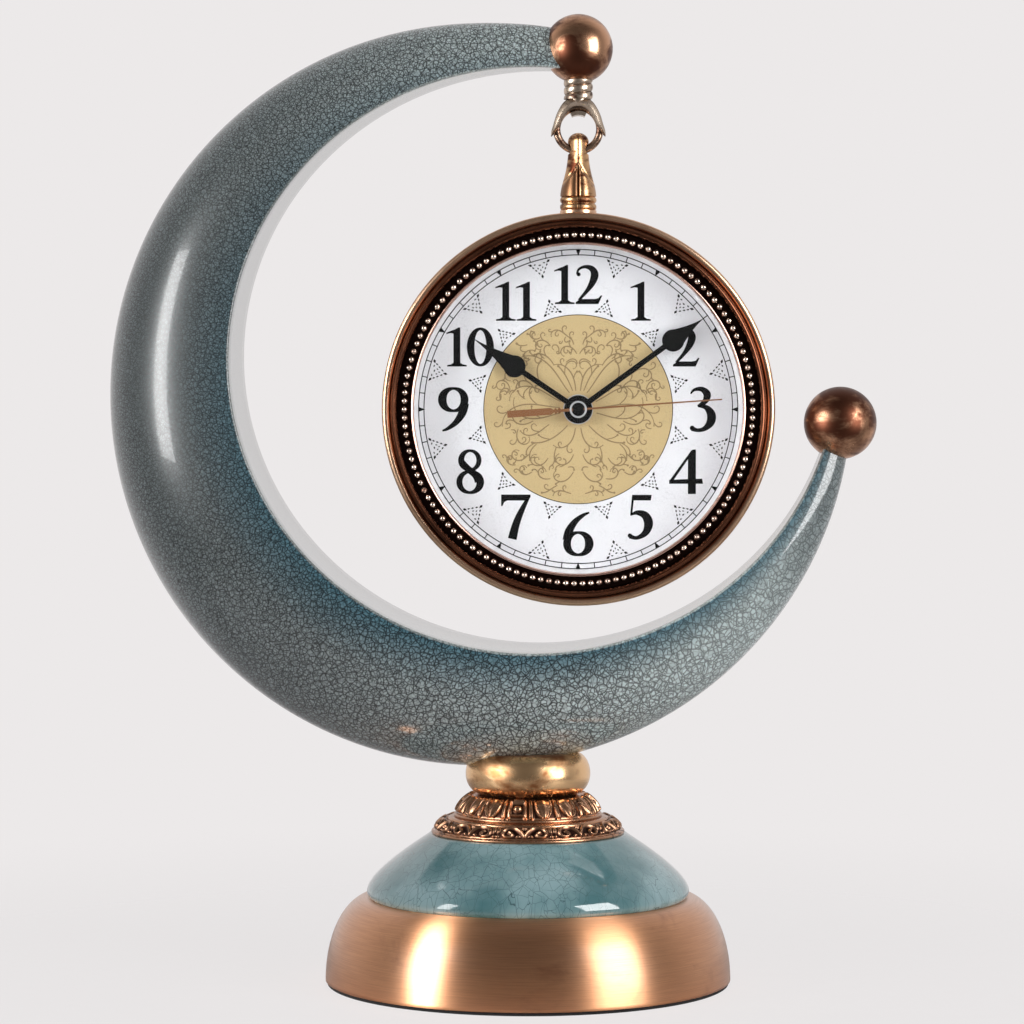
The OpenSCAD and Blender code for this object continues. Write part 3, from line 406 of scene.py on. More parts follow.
@dataclass(frozen=True)
class CrackleGlaze(Finish):
    """Glossy glaze whose fine dark crackle grows from one side of the crescent to the other."""

    deep: Colour = (0.03, 0.05, 0.055)
    bright: Colour = (0.2, 0.3, 0.3)
    line: Colour = (0.01, 0.012, 0.014)
    rim_blue: Colour = screen(84, 142, 162)
    cell: float = 0.95 * MM
    width: float = 0.25 * MM
    bend: float = 0.35
    spread_from: tuple[float, float, float] = (-0.75, 0.0, 0.55)
    spread_reach: float = 0.635
    cloud_scale: float = 14.0
    cloud_share: float = 0.26
    tint_share: float = 0.28
    wall_share: float = 0.85
    rim_by_height: Ramp = (0.15, 0.36, -0.9, -0.3)
    # paler to the right: partly the glaze's own tone, partly painted sheen of the right-hand lamp
    paler_by_side: Ramp = (-0.14, 0.08, 0.0, 0.88)
    # painted light: the top of the arc is made paler
    paler_by_height: Ramp = (0.3, 0.4, 0.0, 0.14)
    darker_at_tip: Ramp = (0.095, 0.13, 0.0, 0.72)
    line_by_side: Ramp = (0.0, 0.12, 1.0, 0.6)
    rough_gain: float = 0.25

    def ground(self, g: Graph, place: Node, parts: Node,
               zone: NodeSocket) -> NodeSocket:
        """Colour of the glaze between its cracks, with painted light in it: paler to the right, partly as painted
        sheen, and paler at the top of the arc.

        Args:
            g: the material's graph.
            place: the texture coordinate node.
            parts: the object coordinates, split.
            zone: the mesh's own mark, 1 on the inner wall and below 0 near the rim.

        Returns:
            The colour.
        """
        cloud = g.noise(place.outputs["Object"], self.cloud_scale, 3.0)
        # painted light on the top of the arc, less a darkening towards the right horn's tip
        top_light_and_tip = g.math("SUBTRACT", g.remap(parts.outputs["Z"], *self.paler_by_height),
                      g.remap(parts.outputs["X"], *self.darker_at_tip))
        # paler to the right, partly as painted sheen of the right-hand lamp, with a random cloud of tone on top
        lift = g.math("ADD", g.remap(parts.outputs["X"], *self.paler_by_side),
                      g.math("MULTIPLY", cloud, self.cloud_share))
        lift = g.math("ADD", lift, top_light_and_tip, True)
        rim = g.math("MAXIMUM", g.math("MULTIPLY", zone, g.remap(parts.outputs["Z"], *self.rim_by_height)), 0.0)
        return g.blend(rim, g.blend(lift, self.deep, self.bright), self.rim_blue)

    def paint(self, g: Graph, shader: Node, place: Node) -> None:
        """Feeds the shader from the crackle; see Finish.paint."""
        away = g.vector("SUBTRACT", place.outputs["Object"], self.spread_from)
        square = g.vector("DOT_PRODUCT", away, away)
        spread = g.scaled(away, g.math("DIVIDE", self.spread_reach ** 2, square))
        facing = g.vector("REFLECT", place.outputs["Normal"], g.vector("NORMALIZE", away))
        crackle = g.place(GROUPS.crackle(), Vector=spread, Normal=facing, Cell=self.cell, Width=self.width,
                          Bend=self.bend)
        parts = g.parts(place.outputs["Object"])
        zone = g.add("Attribute", attribute_name="wall").outputs["Fac"]
        wall = g.math("MULTIPLY", g.math("MAXIMUM", zone, 0.0), self.wall_share)
        tint = g.math("MULTIPLY", crackle.outputs["Tint"], self.tint_share)
        tinted = g.blend(tint, self.ground(g, place, parts, zone), self.line)
        shown = g.math("MULTIPLY", crackle.outputs["Lines"], g.remap(parts.outputs["X"], *self.line_by_side))
        fade = g.math("MULTIPLY", shown, g.math("SUBTRACT", 1.0, wall))
        self.wear(g, shader, g.blend(fade, tinted, self.line), fade, crackle.outputs["Height"])


@dataclass(frozen=True)
class TealGlaze(Finish):
    """Glossy teal glaze with a large sparse crackle."""

    pale: Colour = (0.3, 0.55, 0.55)
    line: Colour = (0.05, 0.1, 0.1)
    cell: float = 3.4 * MM
    width: float = 0.14 * MM
    bend: float = 0.5
    upright: float = 0.4
    cloud_scale: float = 30.0
    line_by_cloud: Ramp = (0.3, 0.6, 0.25, 0.8)
    rough_gain: float = 0.1

    def paint(self, g: Graph, shader: Node, place: Node) -> None:
        """Feeds the shader from the large crackle; see Finish.paint."""
        long = g.vector("MULTIPLY", place.outputs["Object"], (1.0, 1.0, self.upright))
        crackle = g.place(GROUPS.crackle(), Vector=long, Normal=place.outputs["Normal"], Cell=self.cell,
                          Width=self.width, Bend=self.bend)
        cloud = g.noise(place.outputs["Object"], self.cloud_scale, 4.0)
        ground = g.blend(g.remap(cloud, 0.35, 0.7), self.colour, self.pale)
        faint = g.math("MULTIPLY", crackle.outputs["Lines"], g.remap(cloud, *self.line_by_cloud))
        self.wear(g, shader, g.blend(faint, ground, self.line), faint, crackle.outputs["Height"])


@dataclass(frozen=True)
class TurnedMetal(Finish):
    """Plated metal brushed round an axis."""

    metallic: float = 1.0
    shade: Colour = (0.3, 0.15, 0.08)
    centre: tuple[float, float, float] = (0.0, 0.0, 0.0)
    tilt: float = 0.0
    spacing: float = 0.25 * MM
    smudge_scale: float = 30.0
    smudge_amount: float = 0.5
    smudge_share: float = 0.55
    ring_share: float = 0.35
    anisotropy: float = 0.0
    grain_turn: float = 0.25
    rough_gain: float = 0.16

    def marks(self, g: Graph, place: Node) -> tuple[NodeSocket, ...]:
        """Lays the brush rings and smudges round the finish's own axis.

        Args:
            g: the material's graph.
            place: the texture coordinate node.

        Returns:
            The place about the axis, the rings' height and the smudges' mask.
        """
        local = g.add("Mapping", vector_type="TEXTURE")
        local.inputs["Location"].default_value = self.centre
        local.inputs["Rotation"].default_value = (self.tilt, 0.0, 0.0)
        g.feed(local.inputs["Vector"], place.outputs["Object"])
        rings = g.place(GROUPS.turned(), Vector=local.outputs[0], Spacing=self.spacing)
        smudge = g.place(GROUPS.smudge(), Vector=local.outputs[0], Scale=self.smudge_scale, Amount=self.smudge_amount)
        mask = g.math("MULTIPLY", smudge.outputs["Mask"], self.smudge_share)
        return local.outputs[0], rings.outputs["Height"], mask

    def paint(self, g: Graph, shader: Node, place: Node) -> None:
        """Feeds the shader from the brush rings and smudges; see Finish.paint."""
        shader.inputs["Anisotropic"].default_value = self.anisotropy
        shader.inputs["Anisotropic Rotation"].default_value = self.grain_turn
        _, rings, mask = self.marks(g, place)
        lined = g.math("MULTIPLY", g.remap(rings, 0.3, 0.7), self.ring_share)
        ground = g.blend(lined, self.colour, self.shade)
        self.wear(g, shader, g.blend(mask, ground, self.shade), rings, rings)


@dataclass(frozen=True)
class AntiqueMetal(Finish):
    """Antique plating: dark patina in smudges, and where the mesh's hollow attribute marks it; on the finial that mark
    also holds painted shade.
    """

    metallic: float = 1.0
    patina: Colour = (0.05, 0.03, 0.02)
    smudge_scale: float = 60.0
    smudge_amount: float = 0.8
    hollow_share: float = 0.0
    rough_gain: float = 0.18

    def paint(self, g: Graph, shader: Node, place: Node) -> None:
        """Feeds the shader from smudges and hollows; see Finish.paint."""
        smudge = g.place(GROUPS.smudge(), Vector=place.outputs["Object"], Scale=self.smudge_scale,
                         Amount=self.smudge_amount)
        mask = smudge.outputs["Mask"]
        if self.hollow_share:
            # the hollow mark is patina in recesses, and on the finial also painted shade down its left side
            hollow = g.add("Attribute", attribute_name="hollow").outputs["Fac"]
            mask = g.math("MAXIMUM", mask, g.math("MULTIPLY", hollow, self.hollow_share))
        self.wear(g, shader, g.blend(mask, self.colour, self.patina), mask, smudge.outputs["Height"])


@dataclass(frozen=True)
class BezelMetal(TurnedMetal):
    """The bezel: copper ridges, a dark channel between two radii, and a paler rim inside it."""

    dark: Colour = screen(48, 28, 23)
    inner_rim: Colour = screen(206, 164, 148)
    channel_in: float = 72.0 * MM
    channel_out: float = 78.2 * MM
    edge: float = 0.35 * MM
    smudge_share: float = 0.6
    rough_gain: float = 0.14

    def paint(self, g: Graph, shader: Node, place: Node) -> None:
        """Feeds the shader from the distance to the clock's axis; see Finish.paint."""
        local, rings, mask = self.marks(g, place)
        radius = g.from_axis(g.parts(local))
        inner = g.remap(radius, self.channel_in - self.edge, self.channel_in + self.edge)
        outer = g.remap(radius, self.channel_out - self.edge, self.channel_out + self.edge, 1.0, 0.0)
        worn = g.blend(inner, self.inner_rim, g.blend(mask, self.colour, self.shade))
        self.wear(g, shader, g.blend(g.math("MULTIPLY", inner, outer), worn, self.dark), rings, rings)


@dataclass(frozen=True)
class ClearGlass(Finish):
    """Clear glass that lets lamps light what lies behind it."""

    def paint(self, g: Graph, shader: Node, place: Node) -> None:
        """Sets the clear transmission and feeds a faint waviness; see Finish.paint."""
        shader.inputs["Transmission Weight"].default_value = 1.0
        self.relief(g, shader, g.noise(place.outputs["Object"], 25.0, 1.0))

    def surface(self, g: Graph, shader: Node) -> NodeSocket:
        """The glass, clear to shadow rays."""
        path = g.add("LightPath")
        return g.mix_shader(path.outputs["Is Shadow Ray"], shader.outputs[0], g.add("BsdfTransparent").outputs[0])


@dataclass(frozen=True)
class Grained(Finish):
    """Wood board, with its grain along X."""

    grain: Colour = (0.3, 0.18, 0.09)
    stretch: float = 14.0
    rough_gain: float = 0.2

    def paint(self, g: Graph, shader: Node, place: Node) -> None:
        """Feeds the shader from stretched noise; see Finish.paint."""
        long = g.vector("MULTIPLY", place.outputs["Object"], (1.0, self.stretch, self.stretch))
        grain = g.noise(long, 26.0, 5.0, 0.6)
        self.wear(g, shader, g.blend(g.remap(grain, 0.35, 0.7), self.colour, self.grain), grain, grain)


@dataclass(frozen=True)
class Windings(Finish):
    """Fine wire wound round the X axis, with painted shade between its turns."""

    turns: float = 900.0
    gap_share: float = 0.35
    rough_gain: float = 0.1

    def paint(self, g: Graph, shader: Node, place: Node) -> None:
        """Feeds the shader from bands, darker in the grooves between turns as painted shade; see Finish.paint."""
        wave = g.add("TexWave", bands_direction="X")
        g.feed(wave.inputs["Vector"], place.outputs["Object"])
        g.feed(wave.inputs["Scale"], self.turns)
        bands = wave.outputs["Fac"]
        darker = tuple(value * self.gap_share for value in self.colour)
        self.wear(g, shader, g.blend(bands, darker, self.colour), bands, bands)


CLOCK_AXIS = (21.708 * MM, 0.0, 248.758 * MM)

CRESCENT_GLAZE = CrackleGlaze(
    "crescent_glaze", colour=screen(90, 112, 116), roughness=0.12, ior=1.35, coat=0.9, coat_roughness=0.015,
    bump=0.1, bump_depth=0.04 * MM, deep=screen(132, 143, 146), bright=screen(236, 252, 252), line=screen(5, 9, 10))
COLLAR_GLAZE = TealGlaze(
    "collar_glaze", colour=screen(86, 136, 142), roughness=0.05, ior=1.55, coat=0.7, coat_roughness=0.01, bump=0.05,
    pale=screen(162, 198, 204), line=screen(44, 78, 84))
BRUSHED_COPPER = TurnedMetal(
    "dome_copper", colour=screen(226, 166, 122), roughness=0.3, coat=0.6, coat_roughness=0.22, bump=0.15,
    bump_depth=0.02 * MM, shade=screen(164, 106, 74), spacing=0.3 * MM, smudge_amount=0.2, anisotropy=0.95)
ANTIQUE_COPPER = AntiqueMetal(
    "antique_copper", colour=screen(208, 158, 124), roughness=0.2, patina=screen(48, 28, 22),
    smudge_scale=120.0, smudge_amount=0.36, hollow_share=1.0)
ANTIQUE_GOLD = AntiqueMetal(
    "pillow_gold", colour=screen(248, 204, 154), roughness=0.22, patina=screen(136, 88, 54),
    smudge_scale=30.0, smudge_amount=0.42, hollow_share=0.8)
ANTIQUE_BRASS = AntiqueMetal(
    "ball_brass", colour=screen(214, 164, 130), roughness=0.2, patina=screen(88, 52, 38),
    smudge_scale=42.0, smudge_amount=0.6)
# its patina colour is also the painted shade on the finial's left side
FINIAL_GOLD = AntiqueMetal(
    "finial_gold", colour=screen(224, 178, 132), roughness=0.24, patina=screen(80, 42, 27),
    smudge_scale=110.0, smudge_amount=0.48, hollow_share=1.0)
FORK_BRONZE = AntiqueMetal(
    "fork_bronze", colour=screen(218, 198, 178), roughness=0.26, patina=screen(70, 50, 42),
    smudge_scale=90.0, smudge_amount=0.42, hollow_share=0.9)
RING_BRONZE = AntiqueMetal(
    "ring_bronze", colour=screen(206, 172, 146), roughness=0.2, patina=screen(74, 50, 40),
    smudge_scale=120.0, smudge_amount=0.5)
CASE_COPPER = TurnedMetal(
    "case_copper", colour=screen(242, 200, 166), roughness=0.2, bump=0.1, bump_depth=0.02 * MM,
    shade=screen(140, 88, 62), centre=CLOCK_AXIS, tilt=math.radians(90), smudge_amount=0.32, smudge_scale=24.0)
BEZEL_COPPER = BezelMetal(
    "bezel_copper", colour=screen(122, 76, 55), roughness=0.16, bump=0.1, bump_depth=0.02 * MM,
    shade=screen(56, 35, 27), centre=CLOCK_AXIS, tilt=math.radians(90), smudge_amount=0.4, smudge_scale=26.0)
BEAD_METAL = AntiqueMetal(
    "bead_metal", colour=screen(250, 230, 214), roughness=0.2, patina=screen(120, 80, 62),
    smudge_scale=150.0, smudge_amount=0.4)
GLASS = ClearGlass("clear_glass", colour=(0.97, 0.99, 0.99), roughness=0.0, ior=1.2, bump=0.01, bump_depth=0.01 * MM)
ENAMEL = Finish("dial_enamel", colour=screen(236, 234, 238), roughness=0.35, bump=0.02)
WHITE_PLASTIC = Finish("moulded_white", colour=screen(232, 229, 232), roughness=0.35, bump=0.03)
INK = Finish("dial_ink", colour=screen(10, 10, 11), roughness=0.5, ior=1.12, bump=0.02)
DIAL_GOLD = Finish("dial_gold", colour=screen(196, 170, 122), roughness=0.4, bump=0.03)
SCROLL_BROWN = Finish("scroll_brown", colour=screen(140, 115, 76), roughness=0.45, bump=0.02)
BLACK_LACQUER = Finish("black_lacquer", colour=screen(10, 10, 10), roughness=0.3, ior=1.18, bump=0.03)
NEEDLE_COPPER = Finish("needle_copper", colour=screen(132, 88, 56), metallic=0.6, roughness=0.35, bump=0.05)
BLACK_PLASTIC = Finish("moulded_black", colour=screen(34, 34, 36), roughness=0.5, bump=0.25)
DARK_PLASTIC = Finish("dark_plastic", colour=screen(46, 46, 50), roughness=0.42, bump=0.2)
ZINC = Finish("zinc_steel", colour=screen(190, 190, 192), metallic=1.0, roughness=0.3, bump=0.1)
FELT = Finish("black_felt", colour=screen(22, 20, 20), roughness=0.95, bump=0.9, bump_depth=0.3 * MM)
BOARD = Grained("pressed_board", colour=screen(196, 164, 120), roughness=0.6, bump=0.2, grain=screen(160, 122, 80))
CAST_IRON = Finish("cast_iron", colour=screen(74, 76, 80), metallic=0.7, roughness=0.6, bump=0.6, bump_depth=0.2 * MM)
PLASTER = Finish("plaster", colour=screen(226, 222, 212), roughness=0.85, bump=0.4)
COIL_WIRE = Windings("coil_wire", colour=screen(196, 112, 52), metallic=0.8, roughness=0.3, bump=0.5)
GREEN_BOARD = Finish("circuit_green", colour=screen(30, 92, 56), roughness=0.4, bump=0.1)
JACKET = Finish("battery_jacket", colour=screen(70, 104, 96), metallic=0.3, roughness=0.35, bump=0.05)


def dress(node: str, finish: Finish) -> None:
    """Gives a CAD node its finish in place of its own materials."""
    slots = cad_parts[node].data.materials
    material = finish.material()
    if len(slots):
        for index in range(len(slots)):
            slots[index] = material
    else:
        slots.append(material)
    LOG.info("dressed %s in %s", node, finish.name)


def add_object(name: str, bm: BMesh) -> Object:
    """Makes an object of a bmesh, in metres in the frame, and frees the bmesh."""
    mesh = bpy.data.meshes.new(name)
    bm.to_mesh(mesh)
    bm.free()
    made = bpy.data.objects.new(name, mesh)
    bpy.context.scene.collection.objects.link(made)
    return made


def settle(name: str, bm: BMesh, finish: Finish, body: Body, replaces: tuple[str, ...] = (),
           smooth: bool = True) -> Object:
    """Args:
        name: the piece's name.
        bm: its mesh, in metres in the frame; freed here.
        finish: its finish.
        body: the body it rides on.
        replaces: CAD nodes that it stands for.
        smooth: shades its faces smooth.

    Returns:
        The new object.
    """
    bmesh.ops.recalc_face_normals(bm, faces=bm.faces)
    for face in bm.faces:
        face.smooth = smooth
    piece = add_object(name, bm)
    piece.data.materials.append(finish.material())
    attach(piece, body.value)
    if replaces:
        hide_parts(*replaces)
    LOG.info("made %s with %d faces", name, len(piece.data.polygons))
    return piece


def middle_of(node: str) -> Vector:
    """Centre of a CAD node's box."""
    low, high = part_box(node)
    return (low + high) / 2


def to_metres(bm: BMesh, place: Matrix) -> None:
    """Scales a mesh in millimetres to metres and places it."""
    bmesh.ops.transform(bm, matrix=place @ Matrix.Scale(MM, 4), verts=bm.verts)


def split_large(bm: BMesh) -> None:
    """Splits faces of more than four corners into triangles."""
    bmesh.ops.triangulate(bm, faces=[f for f in bm.faces if len(f.verts) > 4])


def close_holes(bm: BMesh) -> None:
    """Caps the open ends of a mesh."""
    bmesh.ops.holes_fill(bm, edges=[e for e in bm.edges if len(e.link_faces) == 1], sides=0)


def thicken(bm: BMesh, faces: list[BMFace], way: Sequence[float]) -> None:
    """Raises flat faces into closed plates."""
    made = bmesh.ops.extrude_face_region(bm, geom=faces)["geom"]
    bmesh.ops.translate(bm, vec=way, verts=[v for v in made if isinstance(v, BMVert)])


DIAL_MIDDLE = middle_of("dial_plate")
DIAL_FACE = Vector((DIAL_MIDDLE.x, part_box("dial_plate")[0].y, DIAL_MIDDLE.z))
CLOCK_PLACE = Matrix.Translation(DIAL_FACE) @ Matrix.Rotation(math.radians(90), 4, "X")


def lathe(bm: BMesh, profile: Profile, steps: int, closed: bool = False, unit: float = MM) -> None:
    """Spins a profile about the upright axis.

    Args:
        bm: the mesh to add to.
        profile: radius and height pairs, from one end to the other.
        steps: number of steps round.
        closed: joins the profile's ends.
        unit: length of the profile's unit.
    """
    before = set(bm.verts)
    verts = [bm.verts.new(Vector((max(r, 0.0), 0.0, z)) * unit) for r, z in profile]
    pairs = list(zip(verts, verts[1:])) + ([(verts[-1], verts[0])] if closed else [])
    edges = [bm.edges.new(pair) for pair in pairs]
    bmesh.ops.spin(bm, geom=verts + edges, cent=(0.0, 0.0, 0.0), axis=(0.0, 0.0, 1.0), angle=math.tau, steps=steps,
                   use_merge=True, use_duplicate=False)
    bmesh.ops.remove_doubles(bm, verts=[v for v in bm.verts if v not in before], dist=MERGE)


def sweep(bm: BMesh, place: Callable[[int, int], tuple[Vector, float]], rings: int, points: int,
          loop: bool, mark: str) -> None:
    """Lays a grid over rings of points.

    Args:
        bm: the mesh to add to.
        place: gives the place of a ring's point, and the value of its mark.
        rings: number of steps after the first ring.
        points: number of points in a ring.
        loop: closes each ring, and caps both ends.
        mark: name of the float attribute that keeps the marks.
    """
    layer = bm.verts.layers.float.get(mark) or bm.verts.layers.float.new(mark)
    columns = points if loop else points - 1
    laid = bmesh.ops.create_grid(bm, x_segments=columns, y_segments=rings, size=0.5)["verts"]
    for vert in laid:
        i, k = round((vert.co.x + 0.5) * columns), round((vert.co.y + 0.5) * rings)
        vert.co, vert[layer] = place(k, i % points)
    if loop:
        bmesh.ops.remove_doubles(bm, verts=laid, dist=1e-7)
        close_holes(bm)


def hump(value: float, middle: float, width: float) -> float:
    """A smooth hump, 1 at its middle and near 0 two widths away."""
    return math.exp(-((value - middle) / width) ** 2)


def about_axis(radius: float, turn: float, z: float) -> Vector:
    """Point at a radius and an angle in radians about the upright axis."""
    return Vector((radius * math.cos(turn), radius * math.sin(turn), z))


def arc(centre: Point, rx: float, rz: float, start: float, end: float, steps: int) -> Profile:
    """Points on an ellipse's arc, with angles in degrees."""
    turns = [math.radians(start + (end - start) * i / steps) for i in range(steps + 1)]
    return [(centre[0] + rx * math.cos(t), centre[1] + rz * math.sin(t)) for t in turns]


def curve(a: Point, b: Point, share: tuple[Point, ...], steps: int) -> Profile:
    """Cubic curve from a to b, whose control points are shares of the way in each direction."""
    ends = [(a[0] + (b[0] - a[0]) * s, a[1] + (b[1] - a[1]) * t) for s, t in share]
    shown = []
    for i in range(steps + 1):
        t = i / steps
        weights = ((1 - t) ** 3, 3 * (1 - t) ** 2 * t, 3 * (1 - t) * t * t, t ** 3)
        shown.append(tuple(sum(w * p[axis] for w, p in zip(weights, ends)) for axis in (0, 1)))
    return shown


def smooth_path(points: Sequence[tuple[float, ...]], steps: int, loop: bool = False) -> list[tuple[float, ...]]:
    """Runs a smooth curve through points of any number of coordinates.

    Args:
        points: the points.
        steps: steps from one point to the next.
        loop: joins the last point to the first.

    Returns:
        The points along the curve.
    """
    count = len(points)
    spans = count if loop else count - 1

    def at(index: int) -> tuple[float, ...]:
        """A point, past the ends too."""
        return points[index % count] if loop else points[min(max(index, 0), count - 1)]

    path = []
    for k in range(spans):
        p = [at(k - 1), at(k), at(k + 1), at(k + 2)]
        for i in range(steps):
            t = i / steps
            path.append(tuple(0.5 * (2 * b + (c - a) * t + (2 * a - 5 * b + 4 * c - d) * t * t
                                     + (3 * b - a - 3 * c + d) * t ** 3) for a, b, c, d in zip(*p)))
    if not loop:
        path.append(tuple(points[-1]))
    return path


def away_from(point: Point, line: Sequence[Point]) -> float:
    """Distance from a point to a line of points."""
    best = math.inf
    px, py = point
    for (ax, ay), (bx, by) in zip(line, line[1:]):
        dx, dy = bx - ax, by - ay
        share = max(0.0, min(1.0, ((px - ax) * dx + (py - ay) * dy) / (dx * dx + dy * dy)))
        best = min(best, math.hypot(px - ax - dx * share, py - ay - dy * share))
    return best


class Print:
    """Flat printed or cut shapes in one plane of the clock, each a thin closed plate.

    Sizes are in millimetres: x to the right, y up, and levels towards the viewer from the dial's face.
    """

    SHARP = math.radians(40)
    RING_STEPS = 240

    def __init__(self, low: float, high: float) -> None:
        """Takes the lower and upper level of the plates."""
        self.bm = bmesh.new()
        self.low = low
        self.high = high
        self.flat: list[BMFace] = []

    def raise_flat(self) -> None:
        """Extrudes what was drawn flat from the lower to the upper level."""
        if self.flat:
            thicken(self.bm, self.flat, (0.0, 0.0, self.high - self.low))
            self.flat = []

    def plate(self, outline: Sequence[Point]) -> None:
        """Adds a plate with the outline."""
        self.flat.append(self.bm.faces.new([self.bm.verts.new((x, y, self.low)) for x, y in outline]))

    def stroke(self, points: Sequence[StrokePoint], steps: int = 5, loop: bool = False) -> None:
        """Adds a pen stroke.

        Args:
            points: x, y and the pen's width along the stroke.
            steps: steps from one point to the next.
            loop: joins its ends.
        """
        path = smooth_path(points, steps, loop)
        count = len(path)
        sides = []
        for i, (x, y, width) in enumerate(path):
            before = path[i - 1] if loop or i else path[0]
            after = path[(i + 1) % count] if loop or i < count - 1 else path[-1]
            dx, dy = after[0] - before[0], after[1] - before[1]
            reach = width / 2 / max(math.hypot(dx, dy), 1e-9)
            sides.append([self.bm.verts.new((x - dy * reach * s, y + dx * reach * s, self.low)) for s in (1, -1)])
        last = count if loop else count - 1
        self.flat += [self.bm.faces.new((sides[i][0], sides[i][1], sides[(i + 1) % count][1],
                                         sides[(i + 1) % count][0])) for i in range(last)]

    def ring(self, radius: float, width: float) -> None:
        """Adds a ring about the hub."""
        inner, outer = radius - width / 2, radius + width / 2
        lathe(self.bm, [(inner, self.low), (outer, self.low), (outer, self.high), (inner, self.high)],
              self.RING_STEPS, closed=True, unit=1.0)

    def disc(self, radius: float, steps: int, x: float = 0.0, y: float = 0.0) -> None:
        """Adds a round plate."""
        turns = [math.tau * i / steps for i in range(steps)]
        self.plate([(x + radius * math.cos(t), y + radius * math.sin(t)) for t in turns])

    def finish(self, name: str, finish: Finish, body: Body, slot: str, replaces: tuple[str, ...] = (),
               turn: float = 0.0, bevel: float = 0.0) -> Object:
        """Places all of it on the clock.

        Args:
            name: the piece's name.
            finish: its finish.
            body: the body it rides on.
            slot: the record's material slot; not used.
            replaces: CAD nodes that it stands for.
            turn: degrees clockwise about the hub.
            bevel: width of the round on its edges.

        Returns:
            The piece.
        """
        self.raise_flat()
        bm = self.bm
        bmesh.ops.dissolve_degenerate(bm, dist=1e-5, edges=bm.edges)
        bmesh.ops.recalc_face_normals(bm, faces=bm.faces)
        if bevel:
            rims = [e for e in bm.edges if len(e.link_faces) == 2 and e.calc_face_angle(0.0) > self.SHARP]
            bmesh.ops.bevel(bm, geom=rims, offset=bevel, offset_type="OFFSET", segments=2, profile=0.5,
                            affect="EDGES", material=-1, clamp_overlap=True)
        split_large(bm)
        to_metres(bm, CLOCK_PLACE @ Matrix.Rotation(-math.radians(turn), 4, "Z"))
        return settle(name, bm, finish, body, replaces, smooth=False)


@dataclass
class Crescent:
    """The hollow crescent: an elliptic opening in a circle, with a flat inner wall and a rounded back."""

    outer_r: float = 160.6 * MM
    outer_x: float = -20.4 * MM
    outer_z: float = 254.8 * MM
    opening_rx: float = 130.0 * MM
    opening_rz: float = 125.2 * MM
    opening_x: float = 3.6 * MM
    opening_z: float = 270.4 * MM
    start: float = 84.4
    end: float = 346.2
    depth_share: float = 0.725
    flat_share: float = 0.27
    swell: float = 1.2 * MM
    fade: float = 10.0
    lip: float = 1.1 * MM
    lip_share: float = 0.12
    steps: int = 264
    lip_steps: int = 4
    back_steps: int = 44

    def tip_share(self, angle: float) -> float:
        """How near an angle is to the upper tip, from 0 to 1."""
        return hump(angle, self.start, self.fade)

    def inner(self, angle: float) -> float:
        """Distance from the opening's centre to its edge."""
        a = math.radians(angle)
        return 1.0 / math.hypot(math.cos(a) / self.opening_rx, math.sin(a) / self.opening_rz)

    def outer(self, angle: float) -> float:
        """Distance from the opening's centre to the outer circle."""
        a = math.radians(angle)
        dx, dz = self.opening_x - self.outer_x, self.opening_z - self.outer_z
        along = math.cos(a) * dx + math.sin(a) * dz
        reach = math.sqrt(along ** 2 + self.outer_r ** 2 - dx ** 2 - dz ** 2)
        return reach - along + self.swell * self.tip_share(angle)

    def section(self, angle: float) -> list[tuple[Vector, float]]:
        """Points of the section at an angle.

        Args:
            angle: degrees round the opening's centre.

        Returns:
            Places, each with 1 on the flat wall, below 0 near the rim, and 0 elsewhere.
        """
        low = self.inner(angle)
        width = self.outer(angle) - low
        half = self.depth_share * width * (1.0 - self.flat_share * self.tip_share(angle))
        lip = min(self.lip, width * self.lip_share)
        open_turn = math.acos(lip / width)
        flat = [(low, -(half - lip) * i / 3, 1.0) for i in range(-3, 4)]
        turns = [math.pi / 2 * i / self.lip_steps for i in range(1, self.lip_steps)]
        flat += [(low + lip * (1 - math.cos(t)), lip - half - lip * math.sin(t), 0.5) for t in turns]
        spread = [2 * i / self.back_steps - 1 for i in range(self.back_steps + 1)]
        flat += [(low + width * math.cos(open_turn * s), half * math.sin(open_turn * s), min(0.0, 3.0 - 4.0 * abs(s)))
                 for s in spread]
        flat += [(low + lip * (1 - math.cos(t)), half - lip + lip * math.sin(t), 0.5) for t in reversed(turns)]
        a = math.radians(angle)
        origin = Vector((self.opening_x, 0.0, self.opening_z))
        ray = Vector((math.cos(a), 0.0, math.sin(a)))
        return [(origin + ray * r + Vector((0.0, y, 0.0)), wall) for r, y, wall in flat]

    def build(self) -> Object:
        """Lays the section along the horn, ring by ring."""
        angles = [self.start + (self.end - self.start) * k / self.steps for k in range(self.steps + 1)]
        sections = [self.section(angle) for angle in angles]
        bm = bmesh.new()
        sweep(bm, lambda k, i: sections[k][i], self.steps, len(sections[0]), True, "wall")
        return settle("crescent_skin", bm, CRESCENT_GLAZE, Body.STAND, ("crescent",))


